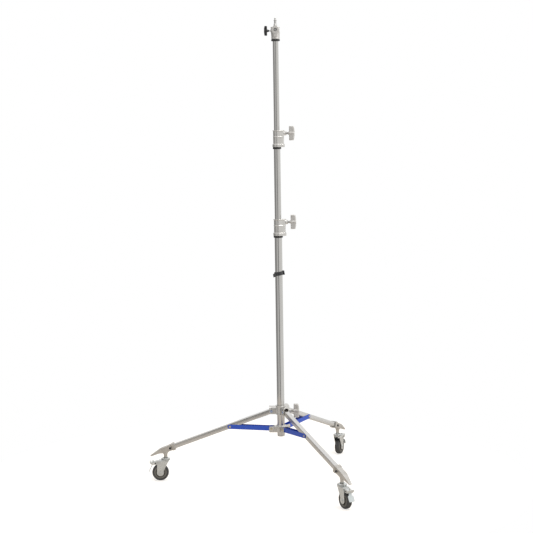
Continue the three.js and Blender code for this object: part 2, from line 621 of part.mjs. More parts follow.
/** A foot from its leg's hinge, +X outwards: a banded sleeve on the leg, a nose, and an upright stem tube. */
function foot() {
  const shoulder = FOOT_SHOULDER;
  const start = FOOT_BAND_START;
  const half = FOOT_HALF;
  const { ease, lowest, low, high, highest, chin, cut: under } = FOOT_NOSE;
  const side = outlineOf([[start, -half], [shoulder - chin, -half], [shoulder, under - half],
    [FOOT_TIP - ease, lowest], [FOOT_TIP, low], [FOOT_TIP, high], [FOOT_TIP - ease, highest],
    [shoulder, half], [start, half]]);
  const tipHalf = FOOT_TIP_WIDTH / 2;
  const plan = outlineOf([[start, -half], [shoulder, -half], [FOOT_TIP, -tipHalf], [FOOT_TIP, tipHalf],
    [shoulder, half], [start, half]]);
  const sleeve = common(upright(side, half), level(plan, -half, half));
  const bandHalf = half + FOOT_BAND_STEP;
  const band = alongX(level(squareOutline(bandHalf, FOOT_BAND_CORNER), start, start + FOOT_BAND_LENGTH, 1));
  const room = LEG_SIZE / 2 + SEAT_GAP;
  const grip = start + FOOT_GRIP + SEAT_GAP;
  const cavity = block([start - 1, -room, -room], [grip, room, room]);
  const tilted = cut(joined(sleeve, band), cavity).rotateY(LEG_SLOPE);
  return cut(joined(tilted, stemTube()), stemBore());
}

const stemSeatFromHinge = () => STEM_SEAT - UPPER_PIVOT;

/** The upright tube under a foot, flared into its sleeve. */
function stemTube() {
  const seat = stemSeatFromHinge();
  const top = seat + STEM_RISE;
  const tube = STEM_TUBE_RADIUS;
  const root = tube + STEM_FLARE;
  const flare = [[0, seat], [tube, seat], [tube, seat + STEM_BORE_DEPTH / 2],
    [root, seat + STEM_BORE_DEPTH + STEM_FLARE / 2], [root, top - STEM_ROOT], [0, top - STEM_ROOT]];
  return turned(flare, SMALL).translate(LEG_RUN, 0, 0);
}

function stemBore() {
  const seat = stemSeatFromHinge();
  return rod(STUD_RADIUS + SEAT_GAP, seat - 1, seat + STEM_BORE_DEPTH, SMALL).translate(LEG_RUN, 0, 0);
}

/** Where a brace's rivet crosses its leg, [outwards, up] from the leg's hinge. */
function braceJoin() {
  const along = [Math.cos(LEG_SLOPE), -Math.sin(LEG_SLOPE)];
  const across = [Math.sin(LEG_SLOPE), Math.cos(LEG_SLOPE)];
  return along.map((value, axis) => BRACE_JOIN * value - BRACE_JOIN_DROP * across[axis]);
}

function braceLength() {
  const [out, up] = braceJoin();
  return Math.hypot(out, up + SPIDER_DROP);
}

function braceSlope() {
  const [out, up] = braceJoin();
  return Math.atan2(up + SPIDER_DROP, out);
}

/** A brace along +X from its hinge: two cheeks with round ends beside the leg, and a floor near the hinge. */
function brace() {
  const length = braceLength();
  const half = BRACE_HALF_HEIGHT;
  const cheek = new THREE.Shape();
  cheek.absarc(length, 0, half, -Math.PI / 2, Math.PI / 2);
  cheek.absarc(0, 0, half, Math.PI / 2, 1.5 * Math.PI);
  const channel = upright(cheek, BRACE_OUTSIDE, 3);
  const past = length + 2 * half;
  const floor = -half + BRACE_WALL;
  const ends = half + 1;
  const inside = block([-ends, -CHEEK_ROOM, floor], [past, CHEEK_ROOM, ends]);
  const throughLeg = block([BRACE_WEB_END, -CHEEK_ROOM, -ends], [past, CHEEK_ROOM, ends]);
  const outside = BRACE_OUTSIDE + 1;
  const hinge = alongY(rod(HINGE_BOLT_RADIUS + RUN_GAP, -outside, outside, TINY));
  const rivet = alongY(rod(HINGE_BOLT_RADIUS + SEAT_GAP, -outside, 0, TINY)).translate(length, 0, 0);
  const nose = block([-ends, -CHEEK_ROOM, -ends], [-half / 2, CHEEK_ROOM, ends]);
  return cut(channel, inside, throughLeg, nose, hinge, rivet);
}

/** The rivet in a brace's cheek, from the brace's centreline. */
function braceRivet() {
  const inner = CHEEK_ROOM + SEAT_GAP;
  const face = BRACE_OUTSIDE + SEAT_GAP;
  const crown = face + 2.6;
  const head = BOLT_HEAD_RADIUS - 0.5;
  const points = [[0, inner], [HINGE_BOLT_RADIUS, inner], [HINGE_BOLT_RADIUS, face], [head, face],
    [head - 1.5, crown], [0, crown]];
  return alongY(turned(points, TINY)).rotateX(Math.PI);
}

/** A caster's fixed stem: stud in the foot, collar, kingpin and riveted head. */
function casterStem() {
  const headTop = CROWN_BOTTOM - SEAT_GAP;
  const collarBottom = STEM_SEAT - SEAT_GAP - COLLAR_HEIGHT;
  const collarTop = STEM_SEAT - SEAT_GAP;
  const studTop = STEM_SEAT + STEM_BORE_DEPTH - 2;
  const collarRadius = STEM_TUBE_RADIUS + 1;
  return turned([[0, headTop - KINGPIN_HEAD], [KINGPIN_HEAD_RADIUS, headTop - KINGPIN_HEAD],
    [KINGPIN_HEAD_RADIUS, headTop], [KINGPIN_RADIUS, headTop], [KINGPIN_RADIUS, collarBottom],
    [collarRadius, collarBottom], [collarRadius, collarTop], [STUD_RADIUS, collarTop], [STUD_RADIUS, studTop],
    [0, studTop]], SMALL);
}

/** A fork cheek's outline in x and z, round the axle below and with a lobe for the brake's pin. */
function cheekOutline() {
  const { ahead, above } = BRAKE_PIVOT;
  const pinX = TRAIL + ahead;
  const pinZ = AXLE_HEIGHT + above;
  const cheek = new THREE.Shape();
  cheek.moveTo(-CHEEK_RADIUS, CROWN_TOP);
  cheek.lineTo(CHEEK_EYE - CHEEK_RADIUS, CROWN_BOTTOM - CHEEK_EYE);
  cheek.absarc(TRAIL, AXLE_HEIGHT, CHEEK_RADIUS, 0.87 * Math.PI, 2.1 * Math.PI);
  cheek.absarc(pinX, pinZ, CHEEK_EYE, -Math.PI / 4, Math.PI / 2);
  cheek.lineTo(pinX - CHEEK_EYE / 2, CROWN_TOP);
  return cheek;
}

/** A fork, from the floor under its swivel axis, with the wheel trailing along +X. */
function fork() {
  const crownFrom = CROWN_THICKNESS - CHEEK_RADIUS;
  const crownTo = TRAIL + CROWN_TAIL;
  const crown = block([crownFrom, -FORK_OUTSIDE, CROWN_BOTTOM], [crownTo, FORK_OUTSIDE, CROWN_TOP]);
  const cheeks = [1, -1].map((side) => {
    const middle = side * (FORK_OUTSIDE - CHEEK_THICKNESS / 2);
    return upright(cheekOutline(), CHEEK_THICKNESS / 2).translate(0, middle, 0);
  });
  const rim = HEAD_RADIUS;
  const top = CROWN_TOP + HEAD_HEIGHT;
  const shoulder = HEAD_HEIGHT / 2;
  const ease = 0.4 * shoulder;
  const foot = CROWN_TOP - 1;
  const cup = turned([[0, foot], [rim - 1, foot], [rim, CROWN_TOP + 1], [rim, top - shoulder],
    [rim - ease, top - ease], [rim - 0.4 * rim, top], [0, top]], HUB_SIDES);
  const swivel = rod(KINGPIN_RADIUS + RUN_GAP, CROWN_BOTTOM - 1, top + 1, SMALL);
  const axleHole = alongY(rod(AXLE_RADIUS + SEAT_GAP, -FORK_OUTSIDE - 1, FORK_OUTSIDE + 1));
  const pinHole = alongY(rod(BRAKE_PIN_RADIUS + RUN_GAP, -FORK_OUTSIDE - 1, FORK_OUTSIDE + 1, TINY));
  axleHole.translate(TRAIL, 0, AXLE_HEIGHT);
  pinHole.translate(TRAIL + BRAKE_PIVOT.ahead, 0, AXLE_HEIGHT + BRAKE_PIVOT.above);
  return cut(joined(crown, ...cheeks, cup), swivel, axleHole, pinHole);
}

/** A tyre about +Y, with flats at its lowest and highest points. */
function tyre() {
  const bead = WHEEL_RADIUS - TYRE_DEPTH;
  const half = WHEEL_WIDTH / 2;
  const shoulder = WHEEL_RADIUS - TYRE_SHOULDER;
  const tread = half - 1.5 * TYRE_SHOULDER;
  const side = bead + TYRE_SHOULDER;
  const profile = [[bead, 1 - half], [side, -half], [shoulder, 1.5 - half], [WHEEL_RADIUS, -tread],
    [WHEEL_RADIUS, tread], [shoulder, half - 1.5], [side, half], [bead, half - 1]];
  return alongY(ring(profile, TYRE_SIDES));
}

/** A wheel's centre about +Y: a bored boss, a thin web and a rim that the tyre sits on. */
function wheelCentre() {
  const bore = AXLE_RADIUS + RUN_GAP;
  const rim = (WHEEL_RADIUS - TYRE_DEPTH) * Math.cos(Math.PI / TYRE_SIDES) - SEAT_GAP;
  const rimInside = rim - HUB_RIM_WALL;
  const boss = WHEEL_WIDTH / 2 + HUB_BOSS_PAST;
  const lip = WHEEL_WIDTH / 2 - 2;
  const half = [[bore, boss], [HUB_BOSS_RADIUS / 2, boss], [HUB_BOSS_RADIUS, (HUB_WEB + boss) / 2],
    [HUB_BOSS_RADIUS + 1, HUB_WEB], [rimInside, HUB_WEB], [rimInside + 1, lip - 1], [rim, lip]];
  const outside = half.map(([radius, height]) => [radius, -height]);
  return alongY(ring([...outside, ...half.reverse()], HUB_SIDES));
}

/** A brake, from the floor under its caster's swivel axis: a channel arm on a pin, a shoe and a pedal. */
function brake() {
  const pinX = TRAIL + BRAKE_PIVOT.ahead;
  const pinZ = AXLE_HEIGHT + BRAKE_PIVOT.above;
  const inside = FORK_INSIDE - SIDE_GAP;
  const pinEnd = FORK_OUTSIDE + BRAKE_PIN_PAST;
  const pin = alongY(rod(BRAKE_PIN_RADIUS, -pinEnd, pinEnd, TINY));
  const shoeLow = [BRAKE_SHOE.from, 1 - inside, -BRAKE_SHOE.below];
  const shoe = block(shoeLow, [BRAKE_SHOE.to, inside - 1, BRAKE_SHOE.above]);
  const pedal = upright(outlineOf(PEDAL), PEDAL_WIDTH / 2);
  const release = rod(RELEASE.radius, RELEASE.from, RELEASE.to, TINY).translate(RELEASE.out, 0, 0);
  const room = upright(outlineOf(BRAKE_HOLLOW), inside - BRAKE_WALL);
  const hollow = cut(upright(outlineOf(BRAKE_ARM), inside), room);
  return joined(hollow, pin, shoe, pedal, release).translate(pinX, 0, pinZ);
}

/** The column's fixed pieces and its two risers. */
function addColumn(stand) {
  const riser1Foot = RISER_1_TOP - RISER_LENGTH;
  const riser2Foot = RISER_2_TOP - RISER_LENGTH;
  add(stand, "base_end_plug", endPlug(), CAST, [0, 0, COLUMN_FOOT]);
  add(stand, "base_tube", tube(BASE_OD, BASE_LENGTH), STEEL, [0, 0, BASE_BOTTOM]);
  add(stand, "cable_strap", strap(), BLACK, [0, 0, COLUMN_FOOT + STRAP_ABOVE_FOOT + STRAP_HEIGHT / 2]);
  add(stand, "riser_1_tube", tube(RISER_1_OD, RISER_LENGTH), STEEL, [0, 0, riser1Foot]);
  const flange = BUSH_FLANGE + SEAT_GAP;
  add(stand, "riser_1_bush", bush(RISER_1_OD, BASE_OD), BLACK, [0, 0, riser1Foot - flange]);
  add(stand, "riser_2_tube", tube(RISER_2_OD, RISER_LENGTH), STEEL, [0, 0, riser2Foot]);
  add(stand, "riser_2_bush", bush(RISER_2_OD, RISER_1_OD), BLACK, [0, 0, riser2Foot - flange]);
}

/** One clamp collar with its ring, pad and T handle. */
function addClamp(stand, name, lowerOd, upperOd, sectionTop) {
  const step = sectionTop + SEAT_GAP;
  const screw = step + COLLAR_HEAD - BOSS_BELOW_TOP;
  add(stand, name + "_collar", collar(lowerOd, upperOd), CAST, [0, 0, step]);
  add(stand, name + "_collar_ring", collarRing(lowerOd), BLACK, [0, 0, step - COLLAR_GRIP - SEAT_GAP]);
  add(stand, name + "_pad", pad(upperOd), BRASS, [0, 0, screw]);
  add(stand, name + "_knob", clampKnob(upperOd, bossEnd(lowerOd)), CAST, [0, 0, screw]);
}

/** The socket on riser 2, its ring, its folding pin and its screw. */
function addHead(stand) {
  add(stand, "socket", socket(), CAST, [0, 0, SOCKET_BOTTOM]);
  add(stand, "socket_ring", socketRing(), BLACK, [0, 0, SOCKET_BOTTOM - SEAT_GAP]);
  add(stand, "baby_pin", babyPin(), STEEL, [0, 0, PIN_PIVOT]);
  add(stand, "pin_hinge_bolt", pinHingeBolt(), ZINC, [0, 0, PIN_PIVOT]);
  add(stand, "socket_knob", socketKnob(), BLACK, [0, 0, PIN_PIVOT - SCREW_BELOW_PIVOT]);
}

function addSpiders(stand) {
  add(stand, "lower_spider", lowerSpider(), CAST, [0, 0, LOWER_PIVOT]);
  add(stand, "upper_spider", upperSpider(), CAST, [0, 0, UPPER_PIVOT]);
  add(stand, "spider_pad", pad(BASE_OD), BRASS, [0, 0, UPPER_PIVOT]);
  add(stand, "spider_knob", clampKnob(BASE_OD, spiderBossEnd()), CAST, [0, 0, UPPER_PIVOT]);
}

const hingeBolt = (face) => crossBolt(HINGE_BOLT_RADIUS, BOLT_HEAD_RADIUS, BOLT_HEAD, face);

/** A caster, in a group at its swivel axis with the wheel trailing along +X. */
function casterGroup(n) {
  const caster = new THREE.Group();
  const axle = [TRAIL, 0, AXLE_HEIGHT];
  add(caster, "caster_stem_" + n, casterStem(), ZINC);
  add(caster, "fork_" + n, fork(), ZINC);
  add(caster, "axle_" + n, crossBolt(AXLE_RADIUS, AXLE_HEAD_RADIUS, BOLT_HEAD, FORK_OUTSIDE), ZINC, axle);
  add(caster, "tyre_" + n, tyre(), RUBBER, axle);
  add(caster, "wheel_centre_" + n, wheelCentre(), HUB_PLASTIC, axle);
  add(caster, "brake_" + n, brake(), PEDAL_PAINT);
  caster.position.x = CASTER_CIRCLE;
  caster.rotation.z = CASTER_TURNS[n - 1];
  return caster;
}

/** One leg with its brace, foot and caster, in a group whose +X runs out along the leg. */
function legGroup(n, angle) {
  const side = new THREE.Group();
  const upper = [PIVOT_CIRCLE, 0, UPPER_PIVOT];
  const lower = [PIVOT_CIRCLE, 0, LOWER_PIVOT];
  const armFace = CHEEK_ROOM + ARM_WALL;
  const earFace = EAR_INSIDE + EAR_WALL;
  const [joinOut, joinUp] = braceJoin();
  const join = [PIVOT_CIRCLE + joinOut, 0, UPPER_PIVOT + joinUp];
  add(side, "leg_" + n, leg(), STEEL, upper, LEG_SLOPE);
  add(side, "leg_bolt_" + n, hingeBolt(armFace), ZINC, upper);
  add(side, "brace_" + n, brace(), BLUE, lower, -braceSlope());
  add(side, "brace_bolt_" + n, hingeBolt(earFace), BRASS, lower);
  add(side, "brace_rivet_" + n, braceRivet(), BRASS, join);
  add(side, "foot_" + n, foot(), CAST, upper);
  side.add(casterGroup(n));
  side.rotation.z = angle;
  return side;
}

const stand = new THREE.Group();
addColumn(stand);
addClamp(stand, "base", BASE_OD, RISER_1_OD, BASE_TOP);
addClamp(stand, "riser", RISER_1_OD, RISER_2_OD, RISER_1_TOP);
addHead(stand);
addSpiders(stand);
legAngles().forEach((angle, index) => stand.add(legGroup(index + 1, angle)));

const extent = new THREE.Box3().setFromObject(stand, true);
const middle = extent.getCenter(new THREE.Vector3());
stand.position.set(-middle.x, -middle.y, -extent.min.z);
const part = new THREE.Group();
part.add(stand);

export default part;
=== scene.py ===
"""A rolling light stand on a folding, braked base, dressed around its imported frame.

Sizes are millimetres in each piece's own local frame. A Place carries a piece from there to the row frame,
which is in metres: z is up, x points towards the column's clamp screws, and y points to the back.
"""

from __future__ import annotations

import json
import logging
import math
from collections.abc import Iterable, Sequence
from dataclasses import dataclass, field
from enum import Enum

import bmesh
import bpy
from mathutils import Matrix, Vector


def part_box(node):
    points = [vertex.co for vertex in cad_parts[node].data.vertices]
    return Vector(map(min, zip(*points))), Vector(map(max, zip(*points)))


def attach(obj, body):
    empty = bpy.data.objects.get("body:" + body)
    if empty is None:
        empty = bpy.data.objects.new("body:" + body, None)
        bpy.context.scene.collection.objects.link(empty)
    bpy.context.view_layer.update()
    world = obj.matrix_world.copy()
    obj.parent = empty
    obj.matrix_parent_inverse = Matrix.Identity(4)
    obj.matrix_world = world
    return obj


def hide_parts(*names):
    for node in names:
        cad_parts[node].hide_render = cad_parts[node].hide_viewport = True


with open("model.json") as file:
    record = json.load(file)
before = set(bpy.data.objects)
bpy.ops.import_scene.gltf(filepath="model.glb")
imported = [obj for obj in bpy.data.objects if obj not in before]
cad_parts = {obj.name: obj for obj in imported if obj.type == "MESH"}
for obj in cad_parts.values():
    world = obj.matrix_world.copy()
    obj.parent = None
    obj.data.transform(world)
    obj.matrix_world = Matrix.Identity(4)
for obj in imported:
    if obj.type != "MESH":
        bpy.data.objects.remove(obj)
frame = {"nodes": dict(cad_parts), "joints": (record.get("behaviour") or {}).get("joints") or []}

LOG = logging.getLogger("stand")
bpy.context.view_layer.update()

MM = 0.001
ROUND = 96
SMALL_ROUND = 48
SHARP_ANGLE = math.radians(38)
Point = tuple[float, float]
Outline = list[Point]


class Axis(Enum):
    """The local axis that a prism runs along; its outline lies in the other two, in x, y, z order."""

    X = "x"
    Y = "y"
    Z = "z"

    def lift(self, across: float, up: float, along: float) -> tuple[float, float, float]:
        """Place an outline's point.

        Args:
            across: The outline's first coordinate.
            up: The outline's second coordinate.
            along: The distance along this axis.

        Returns:
            The point in local x, y and z.
        """
        if self is Axis.X:
            return along, across, up
        if self is Axis.Y:
            return across, along, up
        return across, up, along


# ---------------------------------------------------------------------------------------------- outlines


def arc(centre: Point, radius: float, start: float, end: float, steps: int = 12) -> Outline:
    """Points on a circle.

    Args:
        centre: The circle's centre.
        radius: The circle's radius.
        start: The first point's angle in degrees.
        end: The last point's angle in degrees.
        steps: How many chords join them.

    Returns:
        The points, both ends included.
    """
    angles = [math.radians(start + (end - start) * i / steps) for i in range(steps + 1)]
    return [(centre[0] + radius * math.cos(a), centre[1] + radius * math.sin(a)) for a in angles]


def rounded(points: Sequence[Point], radius: float, steps: int = 4) -> Outline:
    """Round the corners of a closed outline; points on a lathe's axis stay sharp.

    Args:
        points: The outline's corners in order.
        radius: The rounding's radius, made smaller where an edge is short.
        steps: How many chords each rounding has.

    Returns:
        The rounded outline.
    """
    result: Outline = []
    count = len(points)
    for i, corner in enumerate(points):
        here = Vector(corner)
        before = Vector(points[i - 1]) - here
        after = Vector(points[(i + 1) % count]) - here
        angle = before.angle(after)
        if abs(corner[0]) < 1e-6 or angle > math.radians(176):
            result.append(corner)
            continue
        reach = min(radius / math.tan(angle / 2), 0.45 * before.length, 0.45 * after.length)
        first = here + before.normalized() * reach
        last = here + after.normalized() * reach
        for k in range(steps + 1):
            t = k / steps
            point = first * (1 - t) ** 2 + here * (2 * t * (1 - t)) + last * t**2
            result.append((point.x, point.y))
    return result


def rectangle(half_width: float, half_height: float, corner: float = 0.0, steps: int = 5) -> Outline:
    """A rectangle about the origin with rounded corners.

    Args:
        half_width: Half its size across.
        half_height: Half its size up.
        corner: The corners' radius.
        steps: How many chords each corner has.

    Returns:
        The outline.
    """
    w, h = half_width, half_height
    sharp = [(w, -h), (w, h), (-w, h), (-w, -h)]
    return rounded(sharp, corner, steps) if corner else sharp


# ---------------------------------------------------------------------------------------------- solids


@dataclass
class Solid:
    """Closed shells in local millimetres.

    Attributes:
        corners: The shells' corners.
        faces: The corners' numbers round each face.
    """

    corners: list[Vector]
    faces: list[tuple[int, ...]]

    def moved(self, matrix: Matrix) -> Solid:
        """The same shells carried by a matrix."""
        return Solid([matrix @ c for c in self.corners], self.faces)

    def shifted(self, x: float = 0.0, y: float = 0.0, z: float = 0.0) -> Solid:
        """The same shells moved along local x, y and z."""
        return self.moved(Matrix.Translation((x, y, z)))

    def turned(self, degrees: float, axis: str = "Z") -> Solid:
        """The same shells turned about a local axis through the origin."""
        return self.moved(Matrix.Rotation(math.radians(degrees), 4, axis))


def together(*solids: Solid) -> Solid:
    """Gather shells into one solid without joining their walls."""
    corners: list[Vector] = []
    faces: list[tuple[int, ...]] = []
    for solid in solids:
        start = len(corners)
        corners += solid.corners
        faces += [tuple(start + i for i in face) for face in solid.faces]
    return Solid(corners, faces)


def lathe(profile: Sequence[Point], sides: int = ROUND) -> Solid:
    """Spin a profile about local z.

    Args:
        profile: (radius, height) points from the axis to the axis, or round a closed ring.
        sides: How many sides the turned surface has.

    Returns:
        The turned solid.
    """
    corners: list[Vector] = []
    rows: list[list[int]] = []
    for radius, height in profile:
        start = len(corners)
        if radius < 1e-6:
            corners.append(Vector((0, 0, height)))
            rows.append([start] * sides)
            continue
        for i in range(sides):
            a = math.tau * i / sides
            corners.append(Vector((radius * math.cos(a), radius * math.sin(a), height)))
        rows.append(list(range(start, start + sides)))
    on_axis = profile[0][0] < 1e-6
    pairs = list(zip(rows, rows[1:])) + ([] if on_axis else [(rows[-1], rows[0])])
    faces: list[tuple[int, ...]] = []
    for low, high in pairs:
        for i in range(sides):
            j = (i + 1) % sides
            face = tuple(dict.fromkeys((low[i], low[j], high[j], high[i])))
            if len(face) > 2:
                faces.append(face)
    return Solid(corners, faces)


def prism(outline: Sequence[Point], low: float, high: float, axis: Axis = Axis.Z) -> Solid:
    """Make an outline solid between two places along an axis."""
    count = len(outline)
    corners = [Vector(axis.lift(u, v, along)) for along in (low, high) for u, v in outline]
    faces = [tuple(range(count)), tuple(range(2 * count - 1, count - 1, -1))]
    faces += [(i, (i + 1) % count, count + (i + 1) % count, count + i) for i in range(count)]
    return Solid(corners, faces)


def sleeve(outer: Sequence[Point], inner: Sequence[Point], low: float, high: float, axis: Axis) -> Solid:
    """Make the wall between two outlines with as many points each solid between two places."""
    count = len(outer)
    rings = [(outer, low), (outer, high), (inner, high), (inner, low)]
    corners = [Vector(axis.lift(u, v, along)) for ring, along in rings for u, v in ring]
    faces = []
    for k in range(4):
        a, b = k * count, ((k + 1) % 4) * count
        faces += [(a + i, a + (i + 1) % count, b + (i + 1) % count, b + i) for i in range(count)]
    return Solid(corners, faces)


def rod(radius: float, low: float, high: float, axis: Axis = Axis.Z, sides: int = SMALL_ROUND) -> Solid:
    """A round bar along an axis."""
    return prism(arc((0, 0), radius, 0, 360 - 360 / sides, sides - 1), low, high, axis)


def block(low: Sequence[float], high: Sequence[float]) -> Solid:
    """A box between two corners."""
    (x0, y0, z0), (x1, y1, z1) = low, high
    return prism([(x0, y0), (x1, y0), (x1, y1), (x0, y1)], z0, z1)


def to_object(solid: Solid, name: str) -> bpy.types.Object:
    """Make a linked object whose mesh has merged corners and faces that point outwards."""
    mesh = bpy.data.meshes.new(name)
    mesh.from_pydata([tuple(c) for c in solid.corners], [], solid.faces)
    work = bmesh.new()
    work.from_mesh(mesh)
    bmesh.ops.remove_doubles(work, verts=work.verts, dist=1e-4)
    bmesh.ops.recalc_face_normals(work, faces=work.faces)
    work.to_mesh(mesh)
    work.free()
    result = bpy.data.objects.new(name, mesh)
    bpy.context.scene.collection.objects.link(result)
    return result


def harvest(source: bpy.types.Object) -> Solid:
    """Take what an object's modifiers make of it, and remove the object."""
    graph = bpy.context.evaluated_depsgraph_get()
    mesh = bpy.data.meshes.new_from_object(source.evaluated_get(graph))
    solid = Solid([v.co.copy() for v in mesh.vertices], [tuple(p.vertices) for p in mesh.polygons])
    bpy.data.meshes.remove(mesh)
    discard(source)
    return solid


def discard(*objects: bpy.types.Object) -> None:
    """Remove objects and their meshes."""
    for item in objects:
        mesh = item.data
        bpy.data.objects.remove(item)
        bpy.data.meshes.remove(mesh)


def add_boolean(body: bpy.types.Object, tool: bpy.types.Object, operation: str) -> None:
    """Add a boolean modifier to a working object."""
    modifier = body.modifiers.new("boolean", "BOOLEAN")
    modifier.operation = operation
    modifier.solver = "EXACT"
    modifier.object = tool


def combine(body: Solid, tools: Iterable[Solid], operation: str = "DIFFERENCE") -> Solid:
    """Cut, join or intersect a solid with others.

    Args:
        body: The solid that is worked on.
        tools: The solids that work on it, one after another.
        operation: DIFFERENCE, UNION or INTERSECT.

    Returns:
        The finished solid.
    """
    work = to_object(body, "work")
    helpers = [to_object(tool, "tool") for tool in tools]
    for helper in helpers:
        add_boolean(work, helper, operation)
    result = harvest(work)
    discard(*helpers)
    return result


@dataclass(frozen=True)
class Mould:
    """How a casting comes out of its mould.

    Attributes:
        cell: The size of the finest detail in millimetres.
        passes: How many times its corners are softened.
        keep: The share of its faces that is kept afterwards.
    """

    cell: float = 0.8
    passes: int = 6
    keep: float = 0.4

    def cast(self, body: Solid, pockets: Sequence[Solid] = (), bores: Sequence[Solid] = ()) -> Solid:
        """Fuse shells into one soft-cornered casting, then machine its bores.

        Args:
            body: Overlapping shells that become one.
            pockets: Hollows that are cast in, with soft corners.
            bores: Holes that are machined afterwards, with sharp corners.

        Returns:
            The casting.
        """
        work = to_object(body, "casting")
        self._remesh(work)
        helpers = [to_object(tool, "tool") for tool in (*pockets, *bores)]
        for helper in helpers[: len(pockets)]:
            add_boolean(work, helper, "DIFFERENCE")
        if pockets:
            self._remesh(work)
        soften = work.modifiers.new("soften", "SMOOTH")
        soften.factor = 0.5
        soften.iterations = self.passes
        thin = work.modifiers.new("thin", "DECIMATE")
        thin.ratio = self.keep
        for helper in helpers[len(pockets) :]:
            add_boolean(work, helper, "DIFFERENCE")
        result = harvest(work)
        discard(*helpers)
        return result

    def _remesh(self, work: bpy.types.Object) -> None:
        """Fuse an object's shells on a grid of cells."""
        fuse = work.modifiers.new("fuse", "REMESH")
        fuse.mode = "VOXEL"
        fuse.voxel_size = self.cell


# ---------------------------------------------------------------------------------------------- places


@dataclass(frozen=True)
class Place:
    """A local frame in millimetres, somewhere in the row frame.

    Attributes:
        matrix: What carries local millimetres to the row frame's metres.
    """

    matrix: Matrix

    @classmethod
    def at(cls, point: Sequence[float], out: Sequence[float] = (1, 0, 0), tip: float = 0.0) -> Place:
        """A frame at a point.

        Args:
            point: Its origin in the row frame, in metres.
            out: Its level x direction.
            tip: How far x tips down, in degrees.

        Returns:
            The place.
        """
        x = Vector(out).normalized()
        z = Vector((0, 0, 1))
        turn = Matrix((x, z.cross(x), z)).transposed().to_4x4()
        lean = Matrix.Rotation(math.radians(tip), 4, "Y")
        return cls(Matrix.Translation(point) @ turn @ lean @ Matrix.Scale(MM, 4))


def low_of(node: str) -> Vector:
    """A node's lowest corner in metres."""
    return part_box(node)[0]


def high_of(node: str) -> Vector:
    """A node's highest corner in metres."""
    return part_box(node)[1]


def middle_of(node: str) -> Vector:
    """The middle of a node's box in metres."""
    low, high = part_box(node)
    return (low + high) / 2


COLUMN_AXIS = middle_of("base_tube")


def on_column(height: float) -> Vector:
    """The point on the column's axis at a height in metres."""
    return Vector((COLUMN_AXIS.x, COLUMN_AXIS.y, height))


def joint(name: str) -> tuple[Vector, Vector]:
    """A joint's place in metres, and its axis."""
    found = next(j for j in frame["joints"] if j["name"] == name)
    return Vector(found["pos_m"]), Vector(found["axis"])


# ---------------------------------------------------------------------------------------------- finishes


class Grain(Enum):
    """What a finish's pattern is laid out on."""

    ROW = "row"
    PIECE = "piece"


Stops = Sequence[tuple[float, float]]


